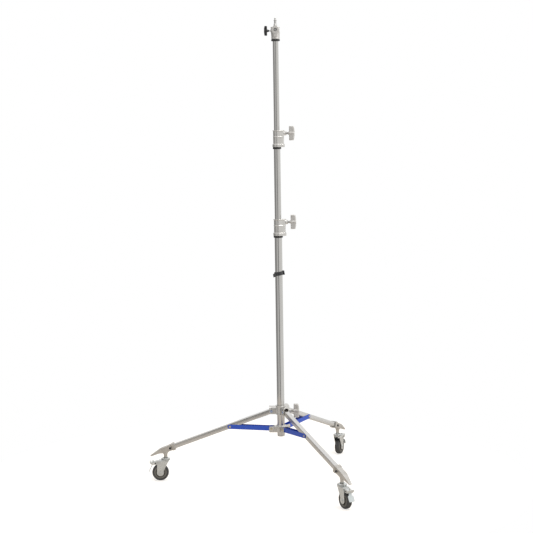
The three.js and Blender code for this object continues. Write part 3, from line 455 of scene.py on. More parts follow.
@dataclass
class Wiring:
    """A material's node tree under construction.

    Attributes:
        tree: The node tree.
        grain: What the patterns are laid out on.
    """

    tree: bpy.types.NodeTree
    grain: Grain

    def node(self, kind: str, **values: object) -> bpy.types.Node:
        """Add a node and set its inputs; an output given as a value is linked.

        Args:
            kind: The node's type.
            **values: Inputs by their names, with _ for a space, or the node's own settings.

        Returns:
            The node.
        """
        node = self.tree.nodes.new(kind)
        for key, value in values.items():
            name = key.replace("_", " ")
            if hasattr(node, key):
                setattr(node, key, value)
            elif isinstance(value, bpy.types.NodeSocket):
                self.tree.links.new(value, node.inputs[name])
            else:
                node.inputs[name].default_value = value
        return node

    def where(self, stretch: Sequence[float] = (1, 1, 1)) -> bpy.types.NodeSocket:
        """Coordinates in metres for a pattern, stretched along each axis."""
        if self.grain is Grain.PIECE:
            source = self.node("ShaderNodeAttribute", attribute_name="grain").outputs["Vector"]
        else:
            source = self.node("ShaderNodeTexCoord").outputs["Object"]
        mapping = self.node("ShaderNodeMapping", Vector=source)
        mapping.inputs["Scale"].default_value = stretch
        return mapping.outputs["Vector"]

    def noise(self, scale: float, detail: float = 3.0,
        stretch: Sequence[float] = (1, 1, 1)) -> bpy.types.NodeSocket:
        """Cloudy noise with so many features a metre."""
        vector = self.where(stretch)
        return self.node("ShaderNodeTexNoise", Vector=vector, Scale=scale, Detail=detail).outputs["Fac"]

    def ramp(self, value: bpy.types.NodeSocket, stops: Stops) -> bpy.types.NodeSocket:
        """Map a value through (place, brightness) stops."""
        node = self.node("ShaderNodeValToRGB", Fac=value)
        elements = node.color_ramp.elements
        while len(elements) < len(stops):
            elements.new(0.5)
        for element, (place, level) in zip(elements, sorted(stops)):
            element.position = place
            element.color = (level, level, level, 1)
        return node.outputs["Color"]

    def mix(self, factor: bpy.types.NodeSocket, a: object, b: object,
        blend: str = "MIX") -> bpy.types.NodeSocket:
        """Mix two colours, each a colour or another node's output."""
        node = self.tree.nodes.new("ShaderNodeMix")
        node.data_type = "RGBA"
        node.blend_type = blend
        self._feed(node.inputs["Factor"], factor)
        self._feed(node.inputs["A"], a, wanted="RGBA", node=node)
        self._feed(node.inputs["B"], b, wanted="RGBA", node=node)
        return next(o for o in node.outputs if o.type == "RGBA")

    def _feed(self, socket: bpy.types.NodeSocket, value: object, wanted: str = "",
        node: object = None) -> None:
        """Link or set an input, choosing the one of the wanted type where names repeat."""
        if wanted:
            socket = next(i for i in node.inputs if i.name == socket.name and i.type == wanted)
        if isinstance(value, bpy.types.NodeSocket):
            self.tree.links.new(value, socket)
        elif isinstance(value, (int, float)):
            socket.default_value = value
        else:
            socket.default_value = (*value, 1.0)

    def maths(self, operation: str, a: object, b: object = 0.0) -> bpy.types.NodeSocket:
        """One step of arithmetic on values or outputs."""
        node = self.tree.nodes.new("ShaderNodeMath")
        node.operation = operation
        self._feed(node.inputs[0], a)
        self._feed(node.inputs[1], b)
        return node.outputs[0]

    def bump(self, height: object, strength: float, depth: float,
        under: object = None) -> bpy.types.NodeSocket:
        """Turn a height into a normal, on top of another normal if one is given."""
        node = self.node("ShaderNodeBump", Height=height, Strength=strength, Distance=depth)
        if under is not None:
            self.tree.links.new(under, node.inputs["Normal"])
        return node.outputs["Normal"]

    def edges(self, stops: Stops) -> bpy.types.NodeSocket:
        """How far a surface stands out, mapped through stops."""
        return self.ramp(self.node("ShaderNodeNewGeometry").outputs["Pointiness"], stops)


@dataclass(frozen=True)
class Finish:
    """What every finish has.

    Attributes:
        name: The finish's name.
        slot: The record's material slot; not used.
        colour: Its main colour, linear.
        tint: The colour that it drifts towards.
        roughness: Its lowest and highest roughness.
        metallic: 1 for bare metal, 0 for the rest.
        grain: What its pattern is laid out on.
    """

    name: str
    slot: str
    colour: tuple[float, float, float]
    tint: tuple[float, float, float]
    roughness: tuple[float, float]
    metallic: float = 0.0
    grain: Grain = Grain.ROW

    def material(self) -> bpy.types.Material:
        """The finish's material, made the first time that it is asked for."""
        known = bpy.data.materials.get(self.name)
        if known:
            return known
        made = bpy.data.materials.new(self.name)
        made.use_nodes = True
        made.diffuse_color = (*self.colour, 1)
        wiring = Wiring(made.node_tree, self.grain)
        shader = made.node_tree.nodes["Principled BSDF"]
        shader.inputs["Metallic"].default_value = self.metallic
        self.wire(wiring, shader)
        return made

    def wire(self, wiring: Wiring, shader: bpy.types.Node) -> None:
        """Wire the finish's colour, roughness and relief; each kind of finish has its own."""
        raise NotImplementedError

    def plug(self, wiring: Wiring, shader: bpy.types.Node, **outputs: bpy.types.NodeSocket) -> None:
        """Link outputs to the shader's inputs, named with _ for a space."""
        for key, output in outputs.items():
            wiring.tree.links.new(output, shader.inputs[key.replace("_", " ")])

    def rough(self, wiring: Wiring, value: bpy.types.NodeSocket) -> bpy.types.NodeSocket:
        """Spread a value from 0 to 1 over the finish's roughness."""
        low, high = self.roughness
        return wiring.maths("ADD", wiring.maths("MULTIPLY", value, high - low), low)


@dataclass(frozen=True)
class DrawnTube(Finish):
    """Bright drawn steel, with streaks and fine scratches along the piece's own x or z axis.

    Attributes:
        along: The stretch of the pattern, smallest along the tube.
    """

    along: tuple[float, float, float] = (1, 1, 0.01)
    metallic: float = 1.0
    grain: Grain = Grain.PIECE

    def wire(self, wiring: Wiring, shader: bpy.types.Node) -> None:
        """Wire broad streaks, hair lines and a few cloudy handling marks."""
        streaks = wiring.ramp(wiring.noise(90, 2, self.along), [(0.35, 0.0), (0.65, 1.0)])
        hairs = wiring.noise(1400, 2, self.along)
        marks = wiring.ramp(wiring.noise(14, 6), [(0.45, 0.0), (0.75, 1.0)])
        colour = wiring.mix(wiring.maths("MULTIPLY", streaks, 0.5), self.colour, self.tint)
        colour = wiring.mix(wiring.maths("MULTIPLY", marks, 0.22), colour, self.tint)
        worn = wiring.maths("ADD", wiring.maths("MULTIPLY", hairs, 0.6), wiring.maths("MULTIPLY", marks, 0.4))
        normal = wiring.bump(hairs, 0.05, 0.00002)
        self.plug(wiring, shader, Base_Color=colour, Roughness=self.rough(wiring, worn), Normal=normal)


@dataclass(frozen=True)
class CastMetal(Finish):
    """A satin casting with a fine grain, a soft mottle and edges rubbed bright."""

    metallic: float = 1.0

    def wire(self, wiring: Wiring, shader: bpy.types.Node) -> None:
        """Wire the mottle, the grain and the rubbed edges."""
        mottle = wiring.ramp(wiring.noise(40, 4), [(0.35, 0.0), (0.7, 1.0)])
        sand = wiring.noise(1900, 3)
        rubbed = wiring.edges([(0.505, 0.0), (0.56, 1.0)])
        colour = wiring.mix(mottle, self.colour, self.tint)
        bright = tuple(min(1.0, 1.15 * c) for c in self.colour)
        colour = wiring.mix(wiring.maths("MULTIPLY", rubbed, 0.5), colour, bright)
        worn = wiring.maths("MAXIMUM", wiring.maths("SUBTRACT", mottle,
            wiring.maths("MULTIPLY", rubbed, 0.6)), 0.0)
        normal = wiring.bump(sand, 0.03, 0.00005)
        self.plug(wiring, shader, Base_Color=colour, Roughness=self.rough(wiring, worn), Normal=normal)


@dataclass(frozen=True)
class ZincPlate(Finish):
    """Bright zinc plate with faint crystals and a cool bloom."""

    metallic: float = 1.0

    def wire(self, wiring: Wiring, shader: bpy.types.Node) -> None:
        """Wire crystals, bloom and a rolled grain."""
        cells = wiring.node("ShaderNodeTexVoronoi", Vector=wiring.where(), Scale=220.0).outputs["Color"]
        crystals = wiring.ramp(wiring.node("ShaderNodeRGBToBW", Color=cells).outputs["Val"],
            [(0.2, 0.0), (0.8, 1.0)])
        bloom = wiring.ramp(wiring.noise(35, 4), [(0.4, 0.0), (0.7, 1.0)])
        colour = wiring.mix(bloom, self.colour, self.tint)
        colour = wiring.mix(wiring.maths("MULTIPLY", crystals, 0.12), colour, (0.84, 0.86, 0.86))
        worn = wiring.maths("ADD", wiring.maths("MULTIPLY", crystals, 0.4),
            wiring.maths("MULTIPLY", bloom, 0.6))
        normal = wiring.bump(wiring.noise(700, 3), 0.08, 0.0001)
        self.plug(wiring, shader, Base_Color=colour, Roughness=self.rough(wiring, worn), Normal=normal)


@dataclass(frozen=True)
class Enamel(Finish):
    """Stoved enamel with orange peel, chipped to the metal along its sharpest edges."""

    def wire(self, wiring: Wiring, shader: bpy.types.Node) -> None:
        """Wire the orange peel, faded patches and chips."""
        faded = wiring.ramp(wiring.noise(22, 4), [(0.4, 0.0), (0.75, 1.0)])
        flakes = wiring.ramp(wiring.noise(900, 4), [(0.66, 0.0), (0.7, 1.0)])
        chips = wiring.maths("MULTIPLY", wiring.edges([(0.54, 0.0), (0.6, 1.0)]), flakes)
        colour = wiring.mix(chips, wiring.mix(faded, self.colour, self.tint), (0.45, 0.44, 0.42))
        peel = wiring.bump(wiring.noise(420, 2), 0.15, 0.0002)
        self.plug(wiring, shader, Base_Color=colour, Roughness=self.rough(wiring, faded), Normal=peel)
        shader.inputs["Specular IOR Level"].default_value = 0.12


@dataclass(frozen=True)
class Moulding(Finish):
    """Moulded plastic or rubber with a fine texture and dust that lightens it in patches.

    Attributes:
        texture: The texture's features a metre.
        relief: The texture's depth in metres.
        dust: How much the dust lightens it.
    """

    texture: float = 1500.0
    relief: float = 0.00012
    dust: float = 0.3

    def wire(self, wiring: Wiring, shader: bpy.types.Node) -> None:
        """Wire the texture, the dust and the rubbed edges."""
        patches = wiring.ramp(wiring.noise(45, 5), [(0.42, 0.0), (0.72, 1.0)])
        rubbed = wiring.edges([(0.52, 0.0), (0.6, 1.0)])
        amount = wiring.maths("MULTIPLY", wiring.maths("MAXIMUM", patches, rubbed), self.dust)
        colour = wiring.mix(amount, self.colour, self.tint)
        pores = wiring.bump(wiring.noise(self.texture, 3), 0.35, self.relief)
        self.plug(wiring, shader, Base_Color=colour, Roughness=self.rough(wiring, patches), Normal=pores)


@dataclass(frozen=True)
class Webbing(Finish):
    """Woven tape: crossed ribs round and across the piece, and a dull sheen.

    Attributes:
        ribs: How many ribs there are a metre.
    """

    ribs: float = 520.0
    grain: Grain = Grain.PIECE

    def wire(self, wiring: Wiring, shader: bpy.types.Node) -> None:
        """Wire the weave, its shading and loose fuzz."""
        warp = self._wave(wiring, "X")
        weft = self._wave(wiring, "Y")
        weave = wiring.maths("MULTIPLY", warp, weft)
        fuzz = wiring.noise(2600, 4)
        colour = wiring.mix(weave, self.tint, self.colour)
        colour = wiring.mix(wiring.maths("MULTIPLY", fuzz, 0.3), colour, self.tint)
        normal = wiring.bump(weave, 0.6, 0.0003, wiring.bump(fuzz, 0.2, 0.0002))
        self.plug(wiring, shader, Base_Color=colour, Roughness=self.rough(wiring, fuzz), Normal=normal)
        shader.inputs["Sheen Weight"].default_value = 0.3

    def _wave(self, wiring: Wiring, direction: str) -> bpy.types.NodeSocket:
        """One set of ribs."""
        node = wiring.node("ShaderNodeTexWave", Vector=wiring.where(), Scale=self.ribs / 3.2)
        node.bands_direction = direction
        node.inputs["Distortion"].default_value = 0.6
        return node.outputs["Fac"]


TUBE = DrawnTube("bright_tube", "tube_steel", (0.58, 0.57, 0.55), (0.42, 0.41, 0.385), (0.08, 0.2))
LEG_TUBE = DrawnTube(
    "bright_leg", "tube_steel", (0.61, 0.60, 0.58), (0.54, 0.53, 0.505), (0.2, 0.32), along=(0.01, 1, 1)
)
CAST = CastMetal("satin_casting", "cast_alloy", (0.62, 0.605, 0.575), (0.55, 0.535, 0.505), (0.26, 0.38))
SATIN = CastMetal("satin_head", "cast_alloy", (0.62, 0.60, 0.57), (0.55, 0.53, 0.50), (0.48, 0.6))
FOOT_CAST = CastMetal("warm_casting", "cast_alloy", (0.56, 0.54, 0.505), (0.48, 0.46, 0.42), (0.3, 0.44))
ZINC = ZincPlate("bright_zinc", "zinc_steel", (0.64, 0.655, 0.64), (0.56, 0.57, 0.555), (0.26, 0.42))
BLUED = ZincPlate("blued_zinc", "zinc_steel", (0.34, 0.40, 0.55), (0.26, 0.30, 0.42), (0.24, 0.4))
DARK_STEEL = ZincPlate("oiled_steel", "zinc_steel", (0.075, 0.073, 0.07), (0.05, 0.05, 0.05), (0.3, 0.5))
PIN_STEEL = DrawnTube("turned_pin", "pin_steel", (0.58, 0.57, 0.55), (0.48, 0.47, 0.45), (0.32, 0.46),
    along=(0.02, 0.02, 1))
BRASS = CastMetal("yellow_passivate", "brass", (0.60, 0.51, 0.34), (0.46, 0.39, 0.26), (0.25, 0.42))
BLUE = Enamel("blue_enamel", "blue_enamel", (0.001, 0.034, 0.43), (0.003, 0.042, 0.46), (0.34, 0.46))
TYRE = Moulding("grey_tread", "tyre_rubber", (0.05, 0.05, 0.05), (0.12, 0.115, 0.105), (0.6, 0.8),
    texture=900.0)
HUB = Moulding("hub_plastic", "wheel_plastic", (0.17, 0.16, 0.14), (0.26, 0.245, 0.22), (0.45, 0.6),
    texture=1200.0)
BLACK = Moulding("black_moulding", "black_plastic", (0.012, 0.012, 0.012), (0.06, 0.06, 0.06), (0.22, 0.4),
    dust=0.2)
# Painted shade: near-black rings in the hinge recesses and the caster heads' gaps stand in for their shade;
# the brake shoes use this finish too.
SHADOW = Moulding("dark_seal", "black_plastic", (0.01, 0.01, 0.01), (0.03, 0.03, 0.03), (0.6, 0.8), dust=0.2)
TAPE = Webbing("black_tape", "strap_fabric", (0.012, 0.012, 0.013), (0.035, 0.035, 0.037), (0.75, 0.95))
PEDAL = Enamel("pale_pedal", "pedal_steel", (0.60, 0.64, 0.64), (0.52, 0.56, 0.56), (0.3, 0.45))


# ---------------------------------------------------------------------------------------------- pieces


@dataclass(frozen=True)
class Rider:
    """What a finished piece goes with.

    Attributes:
        body: The frame's body that it moves with.
        stands_for: The frame's nodes that it replaces.
    """

    body: str
    stands_for: tuple[str, ...] = ()


def store_grain(mesh: bpy.types.Mesh) -> None:
    """Keep each corner's local place, in metres, for patterns that follow the piece."""
    attribute = mesh.attributes.new("grain", "FLOAT_VECTOR", "POINT")
    values = [MM * value for vertex in mesh.vertices for value in vertex.co]
    attribute.data.foreach_set("vector", values)


def hand_over(piece: bpy.types.Object, rider: Rider) -> bpy.types.Object:
    """Give a finished piece its body and the nodes that it stands for."""
    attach(piece, rider.body)
    if rider.stands_for:
        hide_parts(*rider.stands_for)
    LOG.info("%s rides %s with %d faces", piece.name, rider.body, len(piece.data.polygons))
    return piece


def make(name: str, solid: Solid, place: Place, finish: Finish, rider: Rider,
    bevel: float = 0.0) -> bpy.types.Object:
    """Turn a solid into a finished piece.

    Args:
        name: The piece's name.
        solid: Its shells in local millimetres.
        place: Where it goes.
        finish: Its finish.
        rider: What it goes with.
        bevel: How much its sharp edges are broken, in millimetres.

    Returns:
        The piece.
    """
    piece = to_object(solid, name)
    store_grain(piece.data)
    piece.data.transform(place.matrix)
    piece.data.materials.append(finish.material())
    piece.data.shade_smooth()
    piece.data.set_sharp_from_angle(angle=SHARP_ANGLE)
    if bevel:
        modifier = piece.modifiers.new("broken_edges", "BEVEL")
        modifier.width = bevel * MM
        modifier.segments = 2
        modifier.limit_method = "ANGLE"
        modifier.angle_limit = SHARP_ANGLE
        modifier.harden_normals = True
    return hand_over(piece, rider)


def repaint(node: str, finish: Finish) -> None:
    """Give a node of the frame that stays in view a finish."""
    target = frame["nodes"][node]
    target.data.materials.clear()
    target.data.materials.append(finish.material())


# ---------------------------------------------------------------------------------------------- node trees


@dataclass
class Grower:
    """A Geometry Nodes tree that grows a repeated shape.

    Attributes:
        name: The tree's name.
        inputs: Each named input's socket type.
    """

    name: str
    inputs: dict[str, str]
    tree: bpy.types.NodeTree = field(init=False)

    def __post_init__(self) -> None:
        """Make the tree with its named inputs, then let the kind of grower wire it."""
        self.tree = bpy.data.node_groups.new(self.name, "GeometryNodeTree")
        face = self.tree.interface
        face.new_socket(name="Geometry", in_out="INPUT", socket_type="NodeSocketGeometry")
        for name, kind in self.inputs.items():
            face.new_socket(name=name, in_out="INPUT", socket_type=kind)
        face.new_socket(name="Geometry", in_out="OUTPUT", socket_type="NodeSocketGeometry")
        self.source = self.tree.nodes.new("NodeGroupInput")
        self.wire()

    def wire(self) -> None:
        """Wire the tree; each kind of grower has its own."""
        raise NotImplementedError

    def node(self, kind: str, links: dict[object, object], **settings: object) -> bpy.types.Node:
        """Add a node.

        Args:
            kind: The node's type.
            links: Its inputs by name or number, each a value or another node's output.
            **settings: The node's own settings.

        Returns:
            The node.
        """
        node = self.tree.nodes.new(kind)
        for key, value in settings.items():
            setattr(node, key, value)
        for key, value in links.items():
            if isinstance(value, bpy.types.NodeSocket):
                self.tree.links.new(value, node.inputs[key])
            else:
                node.inputs[key].default_value = value
        return node

    def deliver(self, geometry: bpy.types.NodeSocket) -> None:
        """End the tree: make what is grown real, give it its material and pass it out."""
        real = self.node("GeometryNodeRealizeInstances", {"Geometry": geometry})
        links = {"Geometry": real.outputs[0], "Material": self.source.outputs["Material"]}
        painted = self.node("GeometryNodeSetMaterial", links)
        self.node("NodeGroupOutput", {"Geometry": painted.outputs[0]})

    def grow(self, carrier: bpy.types.Object, **values: object) -> bpy.types.Object:
        """Run the tree on a carrier and return the plain mesh object that it makes.

        Args:
            carrier: The object that the tree starts from; it is used up.
            **values: The named inputs, with _ for a space.

        Returns:
            A linked object with a plain mesh.
        """
        modifier = carrier.modifiers.new(self.name, "NODES")
        modifier.node_group = self.tree
        sockets = {s.name: s.identifier for s in self.tree.interface.items_tree if s.in_out == "INPUT"}
        for key, value in values.items():
            modifier[sockets[key.replace("_", " ")]] = value
        graph = bpy.context.evaluated_depsgraph_get()
        mesh = bpy.data.meshes.new_from_object(carrier.evaluated_get(graph))
        grown = bpy.data.objects.new(carrier.name + "_grown", mesh)
        bpy.context.scene.collection.objects.link(grown)
        discard(carrier)
        return grown


@dataclass
class FastenerGrower(Grower):
    """Sets one fastener head on every point of a carrier, each facing its own way."""

    def wire(self) -> None:
        """Turn each head's z axis to the point's stored facing."""
        heads = self.node("GeometryNodeObjectInfo", {"Object": self.source.outputs["Head"]})
        facing = self.node("GeometryNodeInputNamedAttribute", {"Name": "facing"}, data_type="FLOAT_VECTOR")
        turn = self.node("FunctionNodeAlignRotationToVector", {"Vector": facing.outputs["Attribute"]},
            axis="Z")
        links = {
            "Points": self.source.outputs["Geometry"],
            "Instance": heads.outputs["Geometry"],
            "Rotation": turn.outputs["Rotation"],
            "Scale": self.source.outputs["Size"],
        }
        self.deliver(self.node("GeometryNodeInstanceOnPoints", links).outputs["Instances"])


@dataclass
class RingGrower(Grower):
    """Sets an item at even steps round a circle about z, with its x axis pointing out."""

    def wire(self) -> None:
        """Lay the circle out, then place and turn the items on it."""
        links = {"Resolution": self.source.outputs["Count"], "Radius": self.source.outputs["Radius"]}
        circle = self.node("GeometryNodeCurvePrimitiveCircle", links)
        points = self.node("GeometryNodeCurveToPoints", {"Curve": circle.outputs["Curve"]}, mode="EVALUATED")
        place = self.node("GeometryNodeInputPosition", {})
        turn = self.node("FunctionNodeAlignRotationToVector", {"Vector": place.outputs[0]}, axis="X",
            pivot_axis="Z")
        item = self.node("GeometryNodeObjectInfo", {"Object": self.source.outputs["Item"]})
        links = {
            "Points": points.outputs["Points"],
            "Instance": item.outputs["Geometry"],
            "Rotation": turn.outputs["Rotation"],
        }
        self.deliver(self.node("GeometryNodeInstanceOnPoints", links).outputs["Instances"])


@dataclass
class ThreadGrower(Grower):
    """Winds a screw's thread as a helix about z."""

    def wire(self) -> None:
        """Sweep a three-sided section along the helix."""
        outputs = self.source.outputs
        links = {
            "Resolution": 24,
            "Rotations": outputs["Turns"],
            "Start Radius": outputs["Radius"],
            "End Radius": outputs["Radius"],
            "Height": outputs["Length"],
        }
        helix = self.node("GeometryNodeCurveSpiral", links)
        section = self.node("GeometryNodeCurvePrimitiveCircle", {"Resolution": 3, "Radius": outputs["Depth"]})
        links = {"Curve": helix.outputs[0], "Profile Curve": section.outputs["Curve"], "Fill Caps": True}
        self.deliver(self.node("GeometryNodeCurveToMesh", links).outputs[0])


@dataclass(frozen=True)
class Spot:
    """Where a fastener sits.

    Attributes:
        point: Its seat in local millimetres.
        facing: The way that it faces, in the same local frame.
    """

    point: tuple[float, float, float]
    facing: tuple[float, float, float]


class Works:
    """The stand's node trees and the fastener heads that they set."""

    def __init__(self) -> None:
        """Build the trees once."""
        material = {"Material": "NodeSocketMaterial"}
        self.fasteners = FastenerGrower("fasteners",
            {"Head": "NodeSocketObject", "Size": "NodeSocketFloat", **material})
        self.rings = RingGrower(
            "ring", {"Item": "NodeSocketObject", "Count": "NodeSocketInt", "Radius": "NodeSocketFloat",
            **material}
        )
        lengths = {name: "NodeSocketFloat" for name in ("Turns", "Radius", "Length", "Depth")}
        self.threads = ThreadGrower("thread", {**lengths, **material})

    def fasten(
        self, name: str, head: Solid, spots: Sequence[Spot], place: Place, finish: Finish, rider: Rider
    ) -> bpy.types.Object:
        """Set a head on every spot as one piece.

        Args:
            name: The piece's name.
            head: The head's shells, seated on z = 0 and facing +z.
            spots: Where the heads sit.
            place: The spots' local frame.
            finish: The heads' finish.
            rider: What the piece goes with.

        Returns:
            The piece.
        """
        mesh = bpy.data.meshes.new(name)
        mesh.from_pydata([spot.point for spot in spots], [], [])
        facing = mesh.attributes.new("facing", "FLOAT_VECTOR", "POINT")
        facing.data.foreach_set("vector", [value for spot in spots for value in spot.facing])
        carrier = bpy.data.objects.new(name, mesh)
        bpy.context.scene.collection.objects.link(carrier)
        item = to_object(head, "head")
        grown = self.fasteners.grow(carrier, Head=item, Size=1.0, Material=finish.material())
        discard(item)
        return self._settle(grown, name, place, rider)

    def ring(
        self, name: str, item: Solid, count: int, radius: float, place: Place, finish: Finish, rider: Rider
    ) -> bpy.types.Object:
        """Set an item round a circle about local z as one piece.

        Args:
            name: The piece's name.
            item: The item's shells about its own origin, x pointing out.
            count: How many there are.
            radius: The circle's radius in millimetres.
            place: The circle's local frame.
            finish: The items' finish.
            rider: What the piece goes with.

        Returns:
            The piece.
        """
        carrier = to_object(block((0, 0, 0), (1, 1, 1)), name)
        model = to_object(item, "item")
        grown = self.rings.grow(carrier, Item=model, Count=count, Radius=radius, Material=finish.material())
        discard(model)
        return self._settle(grown, name, place, rider)

    def thread(
        self, name: str, radius: float, pitch: float, length: float, place: Place, finish: Finish,
        rider: Rider
    ) -> bpy.types.Object:
        """Wind a thread up from local z = 0 as one piece."""
        carrier = to_object(block((0, 0, 0), (1, 1, 1)), name)
        values = {"Turns": length / pitch, "Radius": radius, "Length": length, "Depth": 0.45 * pitch}
        grown = self.threads.grow(carrier, **values, Material=finish.material())
        return self._settle(grown, name, place, rider)

    def _settle(
        self, grown: bpy.types.Object, name: str, place: Place, rider: Rider
    ) -> bpy.types.Object:
        """Name a grown mesh, put it in its place and hand it over."""
        grown.name = name
        grown.data.name = name
        store_grain(grown.data)
        grown.data.transform(place.matrix)
        grown.data.shade_smooth()
        grown.data.set_sharp_from_angle(angle=SHARP_ANGLE)
        return hand_over(grown, rider)


def bolt_head(radius: float, height: float, sides: int = 6) -> Solid:
    """A bolt's head or nut with a washer under it, its corners chamfered by a cone."""
    washer = lathe([(0, 0), (1.25 * radius, 0), (1.25 * radius, 0.2 * height), (0, 0.2 * height)],
        SMALL_ROUND)
    flats = prism(arc((0, 0), radius, 0, 360 - 360 / sides, sides - 1), 0.1 * height, height)
    cone = lathe([(0, 0), (1.1 * radius, 0), (1.1 * radius, 0.75 * height), (0.75 * radius, height),
        (0, height)], 48)
    return together(washer, combine(flats, [cone], "INTERSECT"))


def domed_head(radius: float, height: float) -> Solid:
    """A round rivet head with a flat rim and a low dome."""
    rim = 0.25 * height
    dome = [(radius * math.cos(a), rim + (height - rim) * math.sin(a)) for a in (0.1, 0.4, 0.7, 1.0, 1.3)]
    return lathe([(0, 0), (radius, 0), (radius, rim), *dome, (0, height)], SMALL_ROUND)


# ---------------------------------------------------------------------------------------------- column


@dataclass
class Column:
    """The base tube with its end plug, and the two risers.

    Attributes:
        diameters: Each tube's outside diameter by its node.
        wall: The tubes' wall.
        lip: The rounding of a tube's ends.
        plug_rim: How far the end plug's rim stands under the base tube.
        plug_spigot: How far its spigot goes up the tube.
    """

    diameters: dict[str, float] = field(
        default_factory=lambda: {"base_tube": 40.0, "riser_1_tube": 35.0, "riser_2_tube": 30.0}
    )
    wall: float = 1.5
    lip: float = 0.5
    plug_rim: float = 6.0
    plug_spigot: float = 18.0

    def build(self) -> None:
        """Build and dress the tubes, the plug and what sits inside them."""
        for node, diameter in self.diameters.items():
            body = node.removesuffix("_tube")
            low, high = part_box(node)
            tube = self.tube(diameter, (high.z - low.z) / MM)
            make("section_" + body, tube, Place.at(on_column(low.z)), TUBE, Rider(body, (node,)))
        place = Place.at(on_column(low_of("base_end_plug").z))
        make("foot_plug", self.plug(), place, CAST, Rider("base", ("base_end_plug",)))
        for node in ("riser_1_bush", "riser_2_bush"):
            repaint(node, BLACK)
        for node in ("base_pad", "riser_pad", "spider_pad"):
            repaint(node, BRASS)

    def tube(self, diameter: float, length: float) -> Solid:
        """One tube standing on z = 0, with rolled ends."""
        outer = diameter / 2
        inner = outer - self.wall
        return lathe(rounded([(inner, 0), (outer, 0), (outer, length), (inner, length)], self.lip))

    def plug(self) -> Solid:
        """The plug in the base tube's foot, from its underside."""
        rim = self.diameters["base_tube"] / 2
        spigot = rim - self.wall - 0.3
        top = self.plug_rim + self.plug_spigot
        profile = [(0, 0), (rim - 2, 0), (rim, 2), (rim, self.plug_rim), (spigot, self.plug_rim),
            (spigot, top), (0, top)]
        return lathe(rounded(profile, 0.6))


# ---------------------------------------------------------------------------------------------- clamps


@dataclass
class THandle:
    """A clamp screw's cast T handle along local x, from the column's axis.

    Attributes:
        inside: Where the handle's inner face is.
        neck: Where its cone starts.
        neck_radius: The cone's radius there.
        reach: How deep the handle is along x.
        height: How tall it is.
        depth: How thick it is.
        shoulder: Where its outer face starts to bow, as a part of its reach.
        bulge: How far the bow's control point is out, as a part of its reach.
        corner: The cut off its inner corners.
        hub_step: How far its hub stands out of its faces' middle.
        hub_end: Where the hub ends, as a part of its reach.
        bow_steps: How many chords the bow has; not used.
    """

    inside: float
    neck: float
    neck_radius: float
    reach: float = 31.0
    height: float = 76.0
    depth: float = 18.0
    shoulder: float = 0.8
    bulge: float = 1.1
    corner: float = 2.5
    hub_step: float = 1.2
    hub_end: float = 0.93
    bow_steps: int = 14

    def outline(self, inset: float) -> Outline:
        """The handle's outline in x and z, drawn in by an inset."""
        half = self.height / 2 - inset
        inner = self.inside + inset
        shoulder = self.inside + self.shoulder * self.reach - inset
        bulge = self.inside + self.bulge * self.reach - 1.5 * inset
        bow = [Vector((shoulder, 1 - half)), Vector((bulge, 0)), Vector((shoulder, half - 1))]
        curve = [bow[0] * (1 - t) ** 2 + bow[1] * 2 * t * (1 - t) + bow[2] * t * t
            for t in (i / 14 for i in range(15))]
        corner = self.corner
        start = [(inner, corner - half), (inner + corner, -half)]
        return [*start, *((p.x, p.y) for p in curve), (inner + corner, half), (inner, half - corner)]

    def solid(self, mould: Mould) -> Solid:
        """The whole handle as one casting."""
        hub = self.depth / 2 + self.hub_step
        end = self.inside + self.hub_end * self.reach
        cone = [(0, self.neck), (self.neck_radius, self.neck), (hub, self.inside + 2), (hub, end - 2),
            (hub - 2, end), (0, end)]
        barrel = lathe(cone, SMALL_ROUND).turned(90, "Y")
        steps = [(0.0, 0.3), (1.0, 0.36), (2.6, 0.42)]
        plates = [prism(self.outline(inset), -share * self.depth, share * self.depth, Axis.Y) for inset,
            share in steps]
        return mould.cast(together(barrel, *plates))


KNOB_STANDOFF = 13.0  # from a boss to its handle
KNOB_NECK = 4.0  # from a boss to the handle's cone
KNOB_NECK_RADIUS = 5.6


